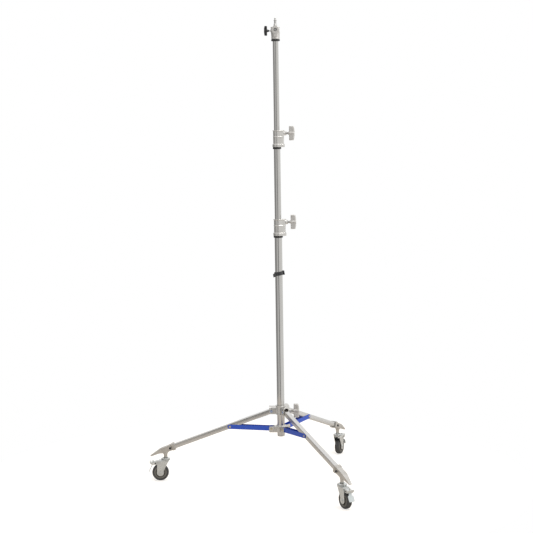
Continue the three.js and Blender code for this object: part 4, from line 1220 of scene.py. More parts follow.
@dataclass
class ClampCollar:
    """A cast collar with its lug and boss, the ring under it and its clamp screw.

    Attributes:
        name: The clamp's name in the frame.
        body: The body that the collar rides on.
        lower: The outside diameter of the section that it sits on.
        upper: The outside diameter of the section that slides in it.
    """

    name: str
    body: str
    lower: float
    upper: float
    wall: float = 2.4
    grip: float = 55.0
    head: float = 32.9
    flange: float = 4.0
    flange_height: float = 15.0
    lip: float = 3.0
    lug_reach: float = 21.5
    lug_width: float = 27.0
    boss_radius: float = 11.0
    boss_length: float = 12.0
    boss_below_top: float = 15.5
    screw_radius: float = 5.0
    fit: float = 0.3
    mould: Mould = Mould(0.8, 8, 0.5)

    def build(self) -> None:
        """Build and dress the collar, its ring and its screw."""
        high = high_of(self.name + "_collar")
        place = Place.at(on_column(high.z - self.head * MM))
        make(self.name + "_clamp_body", self.casting(), place, CAST,
            Rider(self.body, (self.name + "_collar",)))
        ring_place = Place.at(on_column(high_of(self.name + "_collar_ring").z))
        make(self.name + "_clamp_ring", self.ring(), ring_place, BLACK,
            Rider(self.body, (self.name + "_collar_ring",)))
        axis = Place.at(on_column(joint(self.name + "_knob_turn")[0].z))
        knob = self.name + "_knob"
        boss = self.boss_end()
        handle = THandle(boss + KNOB_STANDOFF, boss + KNOB_NECK, KNOB_NECK_RADIUS)
        make(self.name + "_handle", handle.solid(Mould(0.7, 14, 0.5)), axis, SATIN, Rider(knob, (knob,)))
        make(self.name + "_screw", self.screw(boss), axis, DARK_STEEL, Rider(knob))

    def lug_end(self) -> float:
        """Where the lug's flat end is."""
        return self.lower / 2 + self.lug_reach

    def boss_end(self) -> float:
        """Where the boss's end is."""
        return self.lug_end() + self.boss_length

    def plan(self, radius: float, reach: float, half: float) -> Outline:
        """The collar in plan: round the column, with a tapered lug out along x whose corners are cut."""
        corner = half / 3
        far = math.hypot(reach - corner, half)
        meets = math.degrees(math.atan2(half, reach - corner) + math.acos(radius / far))
        lug = [(reach - corner, -half), (reach, corner - half), (reach, half - corner),
            (reach - corner, half)]
        return [*arc((0, 0), radius, meets, 360 - meets, 56), *lug]

    def boss(self, reach: float) -> Solid:
        """The screw's boss along local z, thicker as far as the lug's end."""
        r = self.boss_radius
        end = self.boss_end()
        profile = [(0, 0), (r + 1.6, 0), (r + 1.6, reach + 1.2), (r, reach + 2.8), (r, end), (0, end)]
        return lathe(profile, SMALL_ROUND)

    def casting(self) -> Solid:
        """The collar from its step, its grip below and its head above."""
        body = self.lower / 2 + self.wall
        reach = self.lug_end()
        half = self.lug_width / 2
        top = self.head
        flange_top = self.flange_height - self.grip
        screw_height = top - self.boss_below_top
        shells = [
            prism(self.plan(body, reach - 2, half), -self.grip, top),
            prism(self.plan(body + self.flange, reach + 2, half + 2), -self.grip, flange_top),
            prism(self.plan(body + self.flange - 1.4, reach + 0.6, half + 0.6), -self.grip, flange_top + 1.6),
            prism(self.plan(body + 0.9, reach - 1, half + 0.5), top - self.lip - 1.5, top),
            prism(self.plan(body + 3.2, reach, half + 1), top - self.lip, top),
            prism(self.plan(body + 1.5, reach - 1.4, half + 0.4), -3, 0.5),
            self.boss(reach).turned(90, "Y").shifted(z=screw_height),
        ]
        thread = rod(self.screw_radius + 0.4, 0, self.boss_end() + 1, Axis.X).shifted(z=screw_height)
        bores = [
            rod(self.lower / 2 + self.fit, -self.grip - 1, 0, sides=ROUND),
            rod(self.upper / 2 + self.fit, -1, top + 1, sides=ROUND),
            thread,
        ]
        return self.mould.cast(together(*shells), bores=bores)

    def ring(self) -> Solid:
        """The plastic ring under the collar, from its top down."""
        inner = self.lower / 2 + self.fit
        outer = inner + 4.6
        profile = [(inner, -10.2), (outer - 2.8, -10.2), (outer, -8.2), (outer, -2.4), (outer - 0.7, -2.1),
            (outer - 0.7, -1.5), (outer, -1.2), (outer, 0), (inner, 0)]
        return lathe(rounded(profile, 0.5))

    def screw(self, boss: float) -> Solid:
        """The clamp screw along local x, from the pad that it presses."""
        tip = self.upper / 2 + 3.1
        r = self.screw_radius
        profile = [(0, tip), (r - 1, tip), (r, tip + 1), (r, boss + 5), (0, boss + 5)]
        return lathe(rounded(profile, 0.4), SMALL_ROUND).turned(90, "Y")


# ---------------------------------------------------------------------------------------------- head


@dataclass
class Head:
    """The socket on the top riser, with its ring, folding pin, hinge bolt and screw."""

    riser: float = 30.0
    bore: float = 14.3
    wall: float = 10.4
    foot_wall: float = 6.0
    grip: float = 16.0
    floor: float = 4.0
    pivot_below_rim: float = 14.5
    screw_below_pivot: float = 4.0
    lobe: float = 21.0
    lobe_face: float = 26.0
    recess: float = 8.4
    recess_depth: float = 6.0
    bolt: float = 3.5
    bolt_head: float = 6.0
    pin: float = 8.0
    pin_base: float = 8.9
    pin_neck: float = 6.3
    pin_stud: float = 4.75
    pin_rise: float = 61.5
    fit: float = 0.3
    step: float = 2.2
    knob_standoff: float = 18.5
    knob_neck: float = 7.0
    knob_neck_radius: float = 4.4
    knob_reach: float = 17.0
    knob_height: float = 51.0
    knob_depth: float = 14.0
    screw: float = 3.0
    screw_pitch: float = 1.25
    screw_thread: float = 13.0
    stud_height: float = 10.5
    neck_height: float = 17.0
    collar_height: float = 4.0
    mould: Mould = Mould(0.65, 6, 0.35)

    def build(self, works: Works) -> None:
        """Build and dress the head.

        Args:
            works: The stand's node trees.
        """
        low = low_of("socket").z
        make("socket_body", self.socket(), Place.at(on_column(low)), SATIN, Rider("riser_2", ("socket",)))
        ring_place = Place.at(on_column(high_of("socket_ring").z))
        make("socket_collar", self.ring(), ring_place, BLACK, Rider("riser_2", ("socket_ring",)))
        pivot = Place.at(on_column(joint("pin_fold")[0].z))
        make("stud_pin", self.stud(), pivot, PIN_STEEL, Rider("pin", ("baby_pin",)))
        # Painted shade: dark rings on the floors of the hinge bolt's recesses.
        make("hinge_seals", self.shade_rings(), pivot, SHADOW, Rider("riser_2"))
        make("hinge_screw", self.hinge_screw(), pivot, ZINC, Rider("riser_2", ("pin_hinge_bolt",)),
            bevel=0.25)
        self.knob(works)

    def rim(self) -> float:
        """The socket's height."""
        pivot = joint("pin_fold")[0].z - low_of("socket").z
        return pivot / MM + self.pivot_below_rim

    def socket(self) -> Solid:
        """The socket from its lower edge."""
        rim = self.rim()
        pivot = rim - self.pivot_below_rim
        foot = self.riser / 2 + self.foot_wall
        top = self.bore + self.wall
        profile = [(0, 0), (foot, 0), (foot, 3), (foot + 0.9, 4), (foot + 0.9, 8), (foot + 0.2, 9.5),
            (foot + 1.9, rim / 2), (top - 1.2, rim - 4.5), (top, rim - 3), (top, rim), (0, rim)]
        lobe = rod(self.lobe, -self.lobe_face, self.lobe_face, Axis.Y, ROUND).shifted(z=pivot)
        neck = rod(self.lobe - 2, -self.lobe_face - 0.7, self.lobe_face + 0.7, Axis.Y, ROUND).shifted(z=pivot)
        pad = prism(rectangle(9, 11, 3), -self.lobe_face + 0.6, 0, Axis.Y).shifted(z=21.6)
        boss = rod(7.5, -top - 0.8, 0, Axis.X).shifted(z=pivot - self.screw_below_pivot)
        slot = self.pin_base + 0.8
        floor_top = self.grip + self.fit + self.floor
        face = self.lobe_face
        bottom = face - self.recess_depth
        bores = [
            rod(self.bore, floor_top, rim + self.lobe, sides=ROUND),
            rod(self.riser / 2 + self.fit, -1, self.grip + self.fit, sides=ROUND),
            rod(10, 0, rim),
            block((0, -slot, pivot - slot), (top + 3, slot, rim + self.lobe)),
            rod(self.bolt + self.fit, -face - 2, face + 2, Axis.Y).shifted(z=pivot),
            rod(self.recess, -face - 2, -bottom, Axis.Y).shifted(z=pivot),
            rod(self.recess, bottom, face + 2, Axis.Y).shifted(z=pivot),
            rod(3.8, -top - 3, 0, Axis.X).shifted(z=pivot - self.screw_below_pivot),
        ]
        return self.mould.cast(together(lathe(profile), lobe, neck, pad, boss), bores=bores)

    def ring(self) -> Solid:
        """The glossy ring under the socket, from its top down."""
        inner = self.riser / 2 + self.fit
        outer = self.riser / 2 + self.foot_wall + self.step
        profile = [(inner, -10.2), (outer - 3, -10.2), (outer, -7.2), (outer, -2), (outer - 1.5, 0),
            (inner, 0)]
        return lathe(rounded(profile, 1.2))

    def stud(self) -> Solid:
        """The folding pin from its pivot, with a round end below it."""
        stud_foot = self.pin_rise - self.stud_height
        neck_top = stud_foot - self.collar_height
        neck_foot = neck_top - self.neck_height
        shoulder = self.pivot_below_rim + 4
        end = [(self.pin * math.sin(a), -self.pin * math.cos(a))
            for a in (math.radians(10 * i) for i in range(10))]
        profile = [*end, (self.pin, self.pivot_below_rim), (self.pin_base, shoulder),
            (self.pin_base, neck_foot - 5), (self.pin, neck_foot), (self.pin_neck, neck_foot + 2),
            (self.pin_neck, neck_top - 1.5), (self.pin, neck_top), (self.pin, stud_foot),
            (self.pin_stud, stud_foot), (self.pin_stud, self.pin_rise), (0, self.pin_rise)]
        flat = end[:1] + rounded(profile[1:], 0.6)
        return combine(lathe(flat), [rod(self.bolt + 0.4, -self.pin - 1, self.pin + 1, Axis.Y)])

    def shade_rings(self) -> Solid:
        """Painted shade: dark rings round the hinge bolt's heads, on the recesses' floors, that stand in for
        the recesses' shade.
        """
        floor = self.lobe_face - self.recess_depth
        inner, outer = self.bolt_head + 0.2, self.recess - 0.25
        rings = [lathe([(inner, low), (outer, low), (outer, low + 1.6), (inner, low + 1.6)],
            SMALL_ROUND).turned(90, "X") for low in (floor + 0.05, -floor - 1.65)]
        return together(*rings)

    def hinge_screw(self) -> Solid:
        """The pin's hinge bolt along local y, with a slotted head in each recess."""
        seat = self.lobe_face - self.recess_depth + self.fit
        face = seat + self.recess_depth - 2
        half = [(self.bolt, seat), (self.bolt_head, seat), (self.bolt_head, face - 1),
            (self.bolt_head - 1, face), (0, face)]
        other = [(radius, -height) for radius, height in reversed(half)]
        turned = lathe([*other, *half], SMALL_ROUND).turned(-90, "X")
        slots = [block((-0.8, s * (face - 1.2) - 1.3, -7), (0.8, s * (face - 1.2) + 1.3, 7)).turned(30,
            "Y") for s in (1, -1)]
        return combine(turned, slots)

    def knob(self, works: Works) -> None:
        """The screw that holds the pin up, along -x, with its small black handle."""
        place = Place.at(on_column(joint("socket_knob_turn")[0].z), (-1, 0, 0))
        boss = self.bore + self.wall
        handle = THandle(
            boss + self.knob_standoff, boss + self.knob_neck, self.knob_neck_radius,
            self.knob_reach, self.knob_height, self.knob_depth,
        )
        rider = Rider("socket_knob", ("socket_knob",))
        make("socket_handle", handle.solid(Mould(0.6, 6, 0.4)), place, BLACK, rider)
        tip = self.pin + self.fit
        core = lathe([(0, tip), (2.4, tip), (3, tip + 0.8), (3, boss + 12), (0, boss + 12)],
            SMALL_ROUND).turned(90, "Y")
        make("socket_screw", core, place, ZINC, Rider("socket_knob"))
        turn = Matrix.Rotation(math.pi / 2, 4, "Y")
        wound = Place(place.matrix @ Matrix.Translation((boss - 4, 0, 0)) @ turn)
        rider = Rider("socket_knob")
        works.thread("socket_screw_thread", self.screw, self.screw_pitch, self.screw_thread, wound,
            ZINC, rider)


# ---------------------------------------------------------------------------------------------- base


@dataclass
class Spiders:
    """The sliding and the fixed spider with their hinge bolts, and the sliding one's clamp screw."""

    base: float = 40.0
    leg: float = 25.0
    side_gap: float = 0.8
    hinge_circle: float = 50.5
    hub_wall: float = 6.5
    arm_wall: float = 3.2
    brace_wall: float = 2.0
    ear_wall: float = 4.0
    ear_reach: float = 13.5
    ear_above: float = 12.5
    ear_below: float = 20.5
    ear_corner: float = 6.0
    boss_reach: float = 36.0
    boss_radius: float = 11.0
    arm_reach: float = 11.0
    arm_below: float = 15.2
    arm_shoulder: float = 12.5
    arm_rise: float = 15.7
    pocket_rise: float = 8.5
    bolt_hole: float = 3.9
    screw_hole: float = 5.4
    mould: Mould = Mould(0.9, 8, 0.45)

    def build(self, works: Works) -> None:
        """Build and dress both spiders.

        Args:
            works: The stand's node trees.
        """
        upper = Place.at(on_column(joint("leg_1_hinge")[0].z))
        lower = Place.at(on_column(joint("brace_1_hinge")[0].z))
        make("sliding_spider", self.sliding(), upper, CAST, Rider("spider", ("upper_spider",)))
        make("fixed_spider", self.fixed(), lower, CAST, Rider("base", ("lower_spider",)))
        self.bolts(works, "sliding", upper, self.leg / 2 + self.side_gap + self.arm_wall, BLUED, "spider",
            "leg_bolt")
        self.bolts(works, "fixed", lower, self.ear_outside(), BRASS, "base", "brace_bolt")
        boss = self.base / 2 + self.boss_reach
        handle = THandle(boss + KNOB_STANDOFF, boss + KNOB_NECK, KNOB_NECK_RADIUS)
        rider = Rider("spider_knob", ("spider_knob",))
        make("spider_handle", handle.solid(Mould(0.7, 14, 0.5)), upper, SATIN, rider)
        tip = self.base / 2 + 3.1
        screw = lathe([(0, tip), (4, tip), (5, tip + 1), (5, boss + 5), (0, boss + 5)],
            SMALL_ROUND).turned(90, "Y")
        make("spider_screw", screw, upper, DARK_STEEL, Rider("spider_knob"))

    def ear_outside(self) -> float:
        """Half the width across a pair of the fixed spider's ears."""
        return self.leg / 2 + self.side_gap + self.brace_wall + 0.4 + self.ear_wall

    def angles(self) -> list[float]:
        """Each leg's direction in degrees."""
        return [180.0, 300.0, 60.0]

    def arch(self, half: float, bottom: float, rise: float) -> Outline:
        """An arm's section in y and z: straight sides under a half ellipse."""
        crown = [(half * math.cos(a), self.arm_shoulder + rise * math.sin(a))
            for a in (math.pi * i / 20 for i in range(21))]
        return [(half, bottom), *crown, (-half, bottom)]

    def sliding(self) -> Solid:
        """The sliding spider from its hinges' height."""
        bore = self.base / 2 + 0.4
        hub = bore + self.hub_wall
        room = self.leg / 2 + self.side_gap
        outside = room + self.arm_wall
        reach = self.hinge_circle + self.arm_reach
        bottom, rise = -self.arm_below, self.arm_rise
        arm = prism(self.arch(outside, bottom, rise), hub / 2, reach, Axis.X)
        bead = prism(self.arch(outside + 1, bottom, rise + 1), reach - 4, reach, Axis.X)
        pocket = prism(self.arch(room, bottom - 9, self.pocket_rise), hub + 3, reach + 2, Axis.X)
        boss_end = self.base / 2 + self.boss_reach
        barrel = lathe([(0, -18.2), (hub + 1, -18.2), (hub + 1, -14), (hub, -13), (hub, 26), (hub + 1, 27),
            (hub + 1, 30.3), (0, 30.3)])
        boss = rod(self.boss_radius, 0, boss_end, Axis.X)
        root = lathe([(0, hub - 4), (14, hub - 2), (11, hub + 5), (0, hub + 5)], SMALL_ROUND).turned(90, "Y")
        shells = [barrel, boss, root, *(arm.turned(a) for a in self.angles()),
            *(bead.turned(a) for a in self.angles())]
        hole = rod(self.bolt_hole, -outside - 2, outside + 2, Axis.Y).shifted(x=self.hinge_circle)
        bores = [rod(bore, -20, 32, sides=ROUND), rod(self.screw_hole, 0, boss_end + 1, Axis.X),
            *(hole.turned(a) for a in self.angles())]
        return self.mould.cast(together(*shells), [pocket.turned(a) for a in self.angles()], bores)

    def fixed(self) -> Solid:
        """The fixed spider from its hinges' height."""
        bore = self.base / 2 + 0.3
        hub = bore + self.hub_wall
        outside = self.ear_outside()
        inside = outside - self.ear_wall
        circle = self.hinge_circle
        tip = circle + self.ear_reach - self.ear_corner
        low = arc((tip, self.ear_corner - self.ear_below), self.ear_corner, -90, 0, 6)
        high = arc((tip, self.ear_above - self.ear_corner), self.ear_corner, 0, 90, 6)
        ear = prism([(hub / 2, -self.ear_below), *low, *high, (hub / 2, self.ear_above)], -outside, outside,
            Axis.Y)
        eye = rod(8.5, -outside - 1, outside + 1, Axis.Y).shifted(x=circle)
        slot = block((circle - 15, -inside, -self.ear_below - 2),
            (circle + self.ear_reach + 2, inside, self.ear_above + 2))
        barrel = lathe([(0, -19.1), (hub, -19.1), (hub, 14), (hub - 2, 18), (0, 18)])
        hole = rod(self.bolt_hole, -outside - 2, outside + 2, Axis.Y).shifted(x=circle)
        shells = [barrel, *(shell.turned(a) for a in self.angles() for shell in (ear, eye))]
        bores = [rod(bore, -self.ear_below - 2, 20, sides=ROUND), *(hole.turned(a) for a in self.angles())]
        return self.mould.cast(together(*shells), [slot.turned(a) for a in self.angles()], bores)

    def bolts(
        self, works: Works, name: str, place: Place, face: float, finish: Finish, body: str, node: str
    ) -> None:
        """Set a spider's hinge bolts: shanks, heads on one side and nuts on the other."""
        nodes = tuple(f"{node}_{n}" for n in (1, 2, 3))
        shank = rod(3.5, -face - 0.5, face + 0.5, Axis.Y).shifted(x=self.hinge_circle)
        shanks = together(*(shank.turned(a) for a in self.angles()))
        make(name + "_hinge_shanks", shanks, place, finish, Rider(body, nodes))
        for part, side, head in (("heads", -1, domed_head(6.5, 3.6)), ("nuts", 1, bolt_head(6.0, 4.0))):
            spots = []
            for angle in self.angles():
                turn = Matrix.Rotation(math.radians(angle), 4, "Z")
                point = turn @ Vector((self.hinge_circle, side * (face + 0.1), 0))
                spots.append(Spot(tuple(point), tuple(turn @ Vector((0, side, 0)))))
            works.fasten(f"{name}_hinge_{part}", head, spots, place, finish, Rider(body))


@dataclass
class Leg:
    """One leg with its cast foot and its brace.

    Attributes:
        number: The leg's number in the frame.
    """

    number: int
    size: float = 25.0
    wall: float = 1.6
    corner: float = 2.5
    slope: float = 19.68
    tail: float = 9.5
    band_start: float = 555.0
    band_length: float = 17.0
    band_step: float = 4.0
    foot_grip: float = 33.0
    foot_wall: float = 2.5
    shoulder: float = 633.0
    tip: float = 699.5
    stem_radius: float = 9.6
    stem_rise: float = 39.6
    brace_half: float = 12.0
    brace_wall: float = 2.0
    brace_floor: float = 168.0
    side_gap: float = 0.8

    def build(self, works: Works) -> None:
        """Build and dress the leg.

        Args:
            works: The stand's node trees.
        """
        n = self.number
        hinge, axis = joint(f"leg_{n}_hinge")
        out = axis.cross(Vector((0, 0, 1)))
        level = Place.at(hinge, out)
        sloped = Place.at(hinge, out, self.slope)
        body = f"leg_{n}"
        make(f"leg_tube_{n}", self.tube(), sloped, LEG_TUBE, Rider(body, (f"leg_{n}",)))
        make(f"foot_casting_{n}", self.foot(), level, FOOT_CAST, Rider(body, (f"foot_{n}",)))
        half = self.size / 2 + self.foot_wall
        spots = [Spot((self.band_start + 27, side * (half - 0.4), -1.5), (0, side, 0)) for side in (-1, 1)]
        works.fasten(f"foot_bolts_{n}", self.cap(), spots, sloped, BLACK, Rider(body))
        self.brace(works, out)

    def tube(self) -> Solid:
        """The square tube along x from its hinge."""
        half = self.size / 2
        outer = rectangle(half, half, self.corner)
        inner = rectangle(half - self.wall, half - self.wall, self.corner - 1)
        end = self.band_start + self.foot_grip
        return sleeve(outer, inner, -self.tail, end, Axis.X)

    def cap(self) -> Solid:
        """A bolt's round black cap."""
        profile = [(0, -0.5), (4.6, -0.5), (4.6, 1.6), (6.2, 2.2), (6.2, 6.4), (4.8, 7.6), (0, 7.8)]
        return lathe(profile, SMALL_ROUND)

    def foot(self) -> Solid:
        """The foot from the leg's hinge, level: a banded sleeve, a nose and an upright stem."""
        half = self.size / 2 + self.foot_wall
        start, shoulder, tip = self.band_start, self.shoulder, self.tip
        side = [(start, -half), (shoulder - 20, -half), (shoulder - 4, -half + 2),
            (shoulder + 20, -half + 6), (tip - 2.6, -9.5), (tip, -7), (tip, -4), (tip - 2.6, -3),
            (shoulder + 4, half - 1.5), (shoulder - 12, half), (start, half)]
        plan = [(start, -half), (shoulder - 6, -half), (shoulder + 6, -half + 1), (tip - 1, -7), (tip, -6),
            (tip, 6), (tip - 1, 7), (shoulder + 6, half - 1), (shoulder - 6, half), (start, half)]
        nose = combine(prism(side, -half, half, Axis.Y), [prism(plan, -half - 1, half + 1)], "INTERSECT")
        band_half = half + self.band_step
        band = prism(rectangle(band_half, band_half, 4), start, start + self.band_length, Axis.X)
        step = prism(rectangle(half + 1.2, half + 1.2, 3), start, start + self.band_length + 16, Axis.X)
        room = self.size / 2 + 0.3
        cavity = block((start - 2, -room, -room), (start + self.foot_grip + 0.3, room, room))
        tilted = together(nose, band, step).turned(self.slope, "Y")
        seat, run = self.stem_seat()
        stem = self.stem(seat).shifted(x=run)
        web_in = prism([(run - 24, seat + 31), (run, seat + 8), (run, seat + 38)], -4.5, 4.5, Axis.Y)
        web_out = prism([(run + 30, seat + 16), (run + 14, seat + 17), (run + 8, seat + 9),
            (run, seat + 8), (run, seat + 34), (run + 30, seat + 24)], -3.0, 3.0, Axis.Y)
        bores = [cavity.turned(self.slope, "Y"), rod(6.3, seat - 1, seat + 24).shifted(x=run)]
        return Mould(0.8, 8, 0.35).cast(together(tilted, stem, web_in, web_out), bores=bores)

    def stem_seat(self) -> Point:
        """The stem's lower end, down from the hinge, and how far out it is."""
        hinge = joint(f"leg_{self.number}_hinge")[0]
        swivel = joint(f"caster_{self.number}_swivel")[0]
        run = (swivel - hinge).to_2d().length / MM
        return -math.tan(math.radians(self.slope)) * run - self.stem_rise, run

    def stem(self, seat: float) -> Solid:
        """The upright tube under the foot, flared into its sleeve."""
        r = self.stem_radius
        profile = [(0, seat), (r - 0.6, seat), (r, seat + 0.8), (r, seat + 9), (r + 1, seat + 15),
            (r + 3.2, seat + 23), (r + 4.2, seat + 33), (0, seat + 33)]
        return lathe(profile, SMALL_ROUND)

    def brace(self, works: Works, out: Vector) -> None:
        """Build and dress the blue brace and its rivets."""
        n = self.number
        hinge = joint(f"brace_{n}_hinge")[0]
        rivet = middle_of(f"brace_rivet_{n}")
        run = (rivet - hinge).dot(out)
        rise = rivet.z - hinge.z
        length = math.hypot(run, rise) / MM
        place = Place.at(hinge, out, -math.degrees(math.atan2(rise, run)))
        outside = self.size / 2 + self.side_gap + self.brace_wall
        body = f"brace_{n}"
        make(f"brace_channel_{n}", self.channel(length, outside), place, BLUE, Rider(body, (f"brace_{n}",)),
            bevel=0.45)
        spots = [Spot((length, side * (outside + 0.1), 0), (0, side, 0)) for side in (-1, 1)]
        rider = Rider(body, (f"brace_rivet_{n}",))
        works.fasten(f"brace_rivets_{n}", domed_head(6.0, 2.9), spots, place, BRASS, rider)

    def channel(self, length: float, outside: float) -> Solid:
        """The brace along x from its hinge: two cheeks with round ends, and a floor near the hinge."""
        half = self.brace_half
        inside = outside - self.brace_wall
        ends = half + 1
        past = length + 2 * half
        cheek = [*arc((length, 0), half, -90, 90, 20), *arc((0, 0), half, 90, 270, 20)]
        tools = [
            block((-ends, -inside, self.brace_wall - half), (past, inside, ends)),
            block((self.brace_floor, -inside, -ends), (past, inside, ends)),
            block((-ends, -inside, -ends), (-half / 2, inside, ends)),
            rod(3.9, -outside - 1, outside + 1, Axis.Y),
        ]
        section = prism(rectangle(outside, half, 1.6), -half - 1, past, Axis.X)
        bar = combine(prism(cheek, -outside, outside, Axis.Y), [section], "INTERSECT")
        return combine(bar, tools)


# ---------------------------------------------------------------------------------------------- casters


@dataclass
class Caster:
    """One braked swivel caster.

    Attributes:
        number: The caster's number in the frame.
    """

    number: int
    trail: float = 29.0
    wheel_width: float = 28.0
    wall: float = 2.5
    crown: float = 4.5
    cheek: float = 19.0
    eye: float = 6.5
    head_radius: float = 24.5
    head_height: float = 12.0
    brake_ahead: float = 12.4
    axle_radius: float = 4.0
    nut_radius: float = 10.6
    thread_radius: float = 5.7
    thread_pitch: float = 1.75
    thread_length: float = 8.0
    bead: float = 34.0
    rim: float = 33.7
    ribs: int = 10
    rib_circle: float = 21.5

    def build(self, works: Works) -> None:
        """Build and dress the caster.

        Args:
            works: The stand's node trees.
        """
        n = self.number
        swivel = joint(f"caster_{n}_swivel")[0]
        axle, axis = joint(f"wheel_{n}_spin")
        self.axle = axle.z / MM
        self.crown_top = high_of(f"fork_{n}").z / MM - self.head_height
        self.brake_pin = joint(f"brake_{n}_press")[0].z / MM
        out = axis.cross(Vector((0, 0, 1)))
        place = Place.at((swivel.x, swivel.y, 0), out)
        fork = Rider(f"fork_{n}", (f"fork_{n}",))
        make(f"caster_fork_{n}", self.fork(), place, ZINC, fork, bevel=0.4)
        make(f"caster_head_{n}", self.cup(), place, ZINC, Rider(f"fork_{n}"))
        # Painted shade: dark rings in the head's groove and round the stem.
        make(f"caster_seal_{n}", self.shade_ring(), place, SHADOW, Rider(f"fork_{n}"))
        self.stem(works, place)
        self.axle_bolt(works, place)
        hub = Matrix.Translation((self.trail, 0, self.axle))
        wheel = Place(place.matrix @ hub @ Matrix.Rotation(-math.pi / 2, 4, "X"))
        self.wheel(works, wheel)
        self.brake(works, place)

    def outside(self) -> float:
        """Half the fork's width."""
        return self.wheel_width / 2 + 2 + self.wall

    def fork(self) -> Solid:
        """The pressed fork: a crown bent down into two cheeks that hold the axle and the brake's pin."""
        top = self.crown_top
        bottom = top - self.crown
        pin = (self.trail + self.brake_ahead, self.brake_pin)
        side = [(-self.cheek, top), (-self.cheek + 1, top - 3), (self.eye - self.cheek, bottom - self.eye)]
        side += arc((self.trail, self.axle), self.cheek, 157, 378, 28)
        side += arc(pin, self.eye, -45, 90, 10)
        side += [(pin[0] - self.eye / 2, top)]
        out = self.outside()
        inner = out - self.wall
        bend = rectangle(out, 60, 4.5, 6)
        room = rectangle(inner, 60, 2.0, 4)
        shell = prism([(u, v + top - 60) for u, v in bend], -40, 80, Axis.X)
        hollow = prism([(u, v + bottom - 60) for u, v in room], -45, 85, Axis.X)
        bar = combine(prism(side, -out - 1, out + 1, Axis.Y), [shell], "INTERSECT")
        tools = [hollow, rod(7.4, bottom - 1, top + 1),
            rod(2.9, -out - 1, out + 1, Axis.Y).shifted(x=pin[0], z=pin[1])]
        return combine(bar, tools)

    def cup(self) -> Solid:
        """The round swivel head on the crown, with a groove that holds a ring of painted shade."""
        base = self.crown_top + 0.1
        top = self.crown_top + self.head_height
        r = self.head_radius
        profile = [(7.4, base), (r - 1.2, base), (r, base + 1.2), (r, top - 7.6), (r - 1.8, top - 7.4),
            (r - 1.8, top - 6.2), (r - 0.2, top - 6), (r - 1, top - 3.6), (r - 4, top - 1.5),
            (r - 9, top - 0.3), (12.5, top), (12, top - 1), (7.4, top - 1)]
        return lathe(rounded(profile, 0.5))

    def shade_ring(self) -> Solid:
        """Painted shade: dark rings in the head's groove and round the stem, where those gaps fall in shade.
        """
        top = self.crown_top + self.head_height
        r = self.head_radius - 1.7
        groove = lathe([(r - 1, top - 7.5), (r + 0.5, top - 7.5), (r + 0.5, top - 6.1), (r - 1, top - 6.1)])
        eye = lathe([(7.5, top - 1.2), (11.8, top - 1.2), (11.4, top + 0.2), (7.5, top + 0.2)], SMALL_ROUND)
        return together(groove, eye)

    def stem(self, works: Works, place: Place) -> None:
        """The stem that stays with the foot: kingpin, riveted head, nut and thread."""
        n = self.number
        bottom = self.crown_top - self.crown
        top = self.crown_top + self.head_height
        stud_top = high_of(f"caster_stem_{n}").z / MM
        seat = top + 0.4 + 5.5
        profile = [(0, bottom - 4), (8, bottom - 4), (11, bottom - 2), (11, bottom - 0.3),
            (7, bottom - 0.3), (7, top + 0.4), (8.8, top + 0.4), (8.8, seat - 4), (6, seat - 4),
            (6, stud_top - 1), (5, stud_top), (0, stud_top)]
        rider = Rider(f"leg_{n}", (f"caster_stem_{n}",))
        make(f"caster_kingpin_{n}", lathe(rounded(profile, 0.3), SMALL_ROUND), place, DARK_STEEL, rider)
        r = self.nut_radius
        nut = prism(arc((0, 0), r, 0, 300, 5), top + 1.2, seat - 0.3)
        chamfer = lathe([(0, top + 1.2), (r - 1, top + 1.2), (r, top + 2.2), (r, seat - 1.3),
            (r - 1, seat - 0.3), (0, seat - 0.3)])
        make(f"stem_nut_{n}", combine(nut, [chamfer], "INTERSECT"), place, ZINC, Rider(f"leg_{n}"), bevel=0.2)
        wound = Place(place.matrix @ Matrix.Translation((0, 0, seat - 0.6)))
        works.thread(f"stem_thread_{n}", self.thread_radius, self.thread_pitch, self.thread_length, wound,
            DARK_STEEL, Rider(f"leg_{n}"))

    def axle_bolt(self, works: Works, place: Place) -> None:
        """The wheel's axle with its head and nut."""
        n = self.number
        face = self.outside()
        shank = rod(self.axle_radius, -face - 1, face + 1, Axis.Y).shifted(x=self.trail, z=self.axle)
        make(f"axle_shank_{n}", shank, place, ZINC, Rider(f"fork_{n}", (f"axle_{n}",)))
        spots = [Spot((self.trail, side * (face + 0.05), self.axle), (0, side, 0)) for side in (-1, 1)]
        works.fasten(f"axle_nuts_{n}", bolt_head(6.6, 4.2), spots, place, ZINC, Rider(f"fork_{n}"))

    def wheel(self, works: Works, place: Place) -> None:
        """The tyre and its centre, about local z."""
        n = self.number
        rider = Rider(f"wheel_{n}", (f"tyre_{n}",))
        make(f"tread_{n}", self.tyre(), place, TYRE, rider)
        make(f"wheel_disc_{n}", self.disc(), place, HUB, Rider(f"wheel_{n}", (f"wheel_centre_{n}",)))
        rib = block((-5.5, -0.9, -11), (5.5, 0.9, 11))
        works.ring(f"wheel_ribs_{n}", rib, self.ribs, self.rib_circle, place, HUB, Rider(f"wheel_{n}"))

    def both_sides(self, side: Outline, rounding: float) -> Solid:
        """The turned solid of a profile above z = 0 and its mirror image below."""
        other = [(radius, -height) for radius, height in reversed(side)]
        return lathe(rounded([*side, *other], rounding, 3))

    def tyre(self) -> Solid:
        """The tyre, just touching the floor, with a shoulder groove on each side."""
        r = self.axle
        bead = self.bead
        half = self.wheel_width / 2
        side = [(bead, half - 1.2), (bead + 1.5, half), (bead + 4.5, half), (bead + 5, half - 0.7),
            (bead + 6, half - 0.7), (bead + 6.4, half - 0.1), (r - 2.6, half - 2), (r - 0.7, half - 4.6),
            (r, half - 8.2)]
        return self.both_sides(side, 0.5)

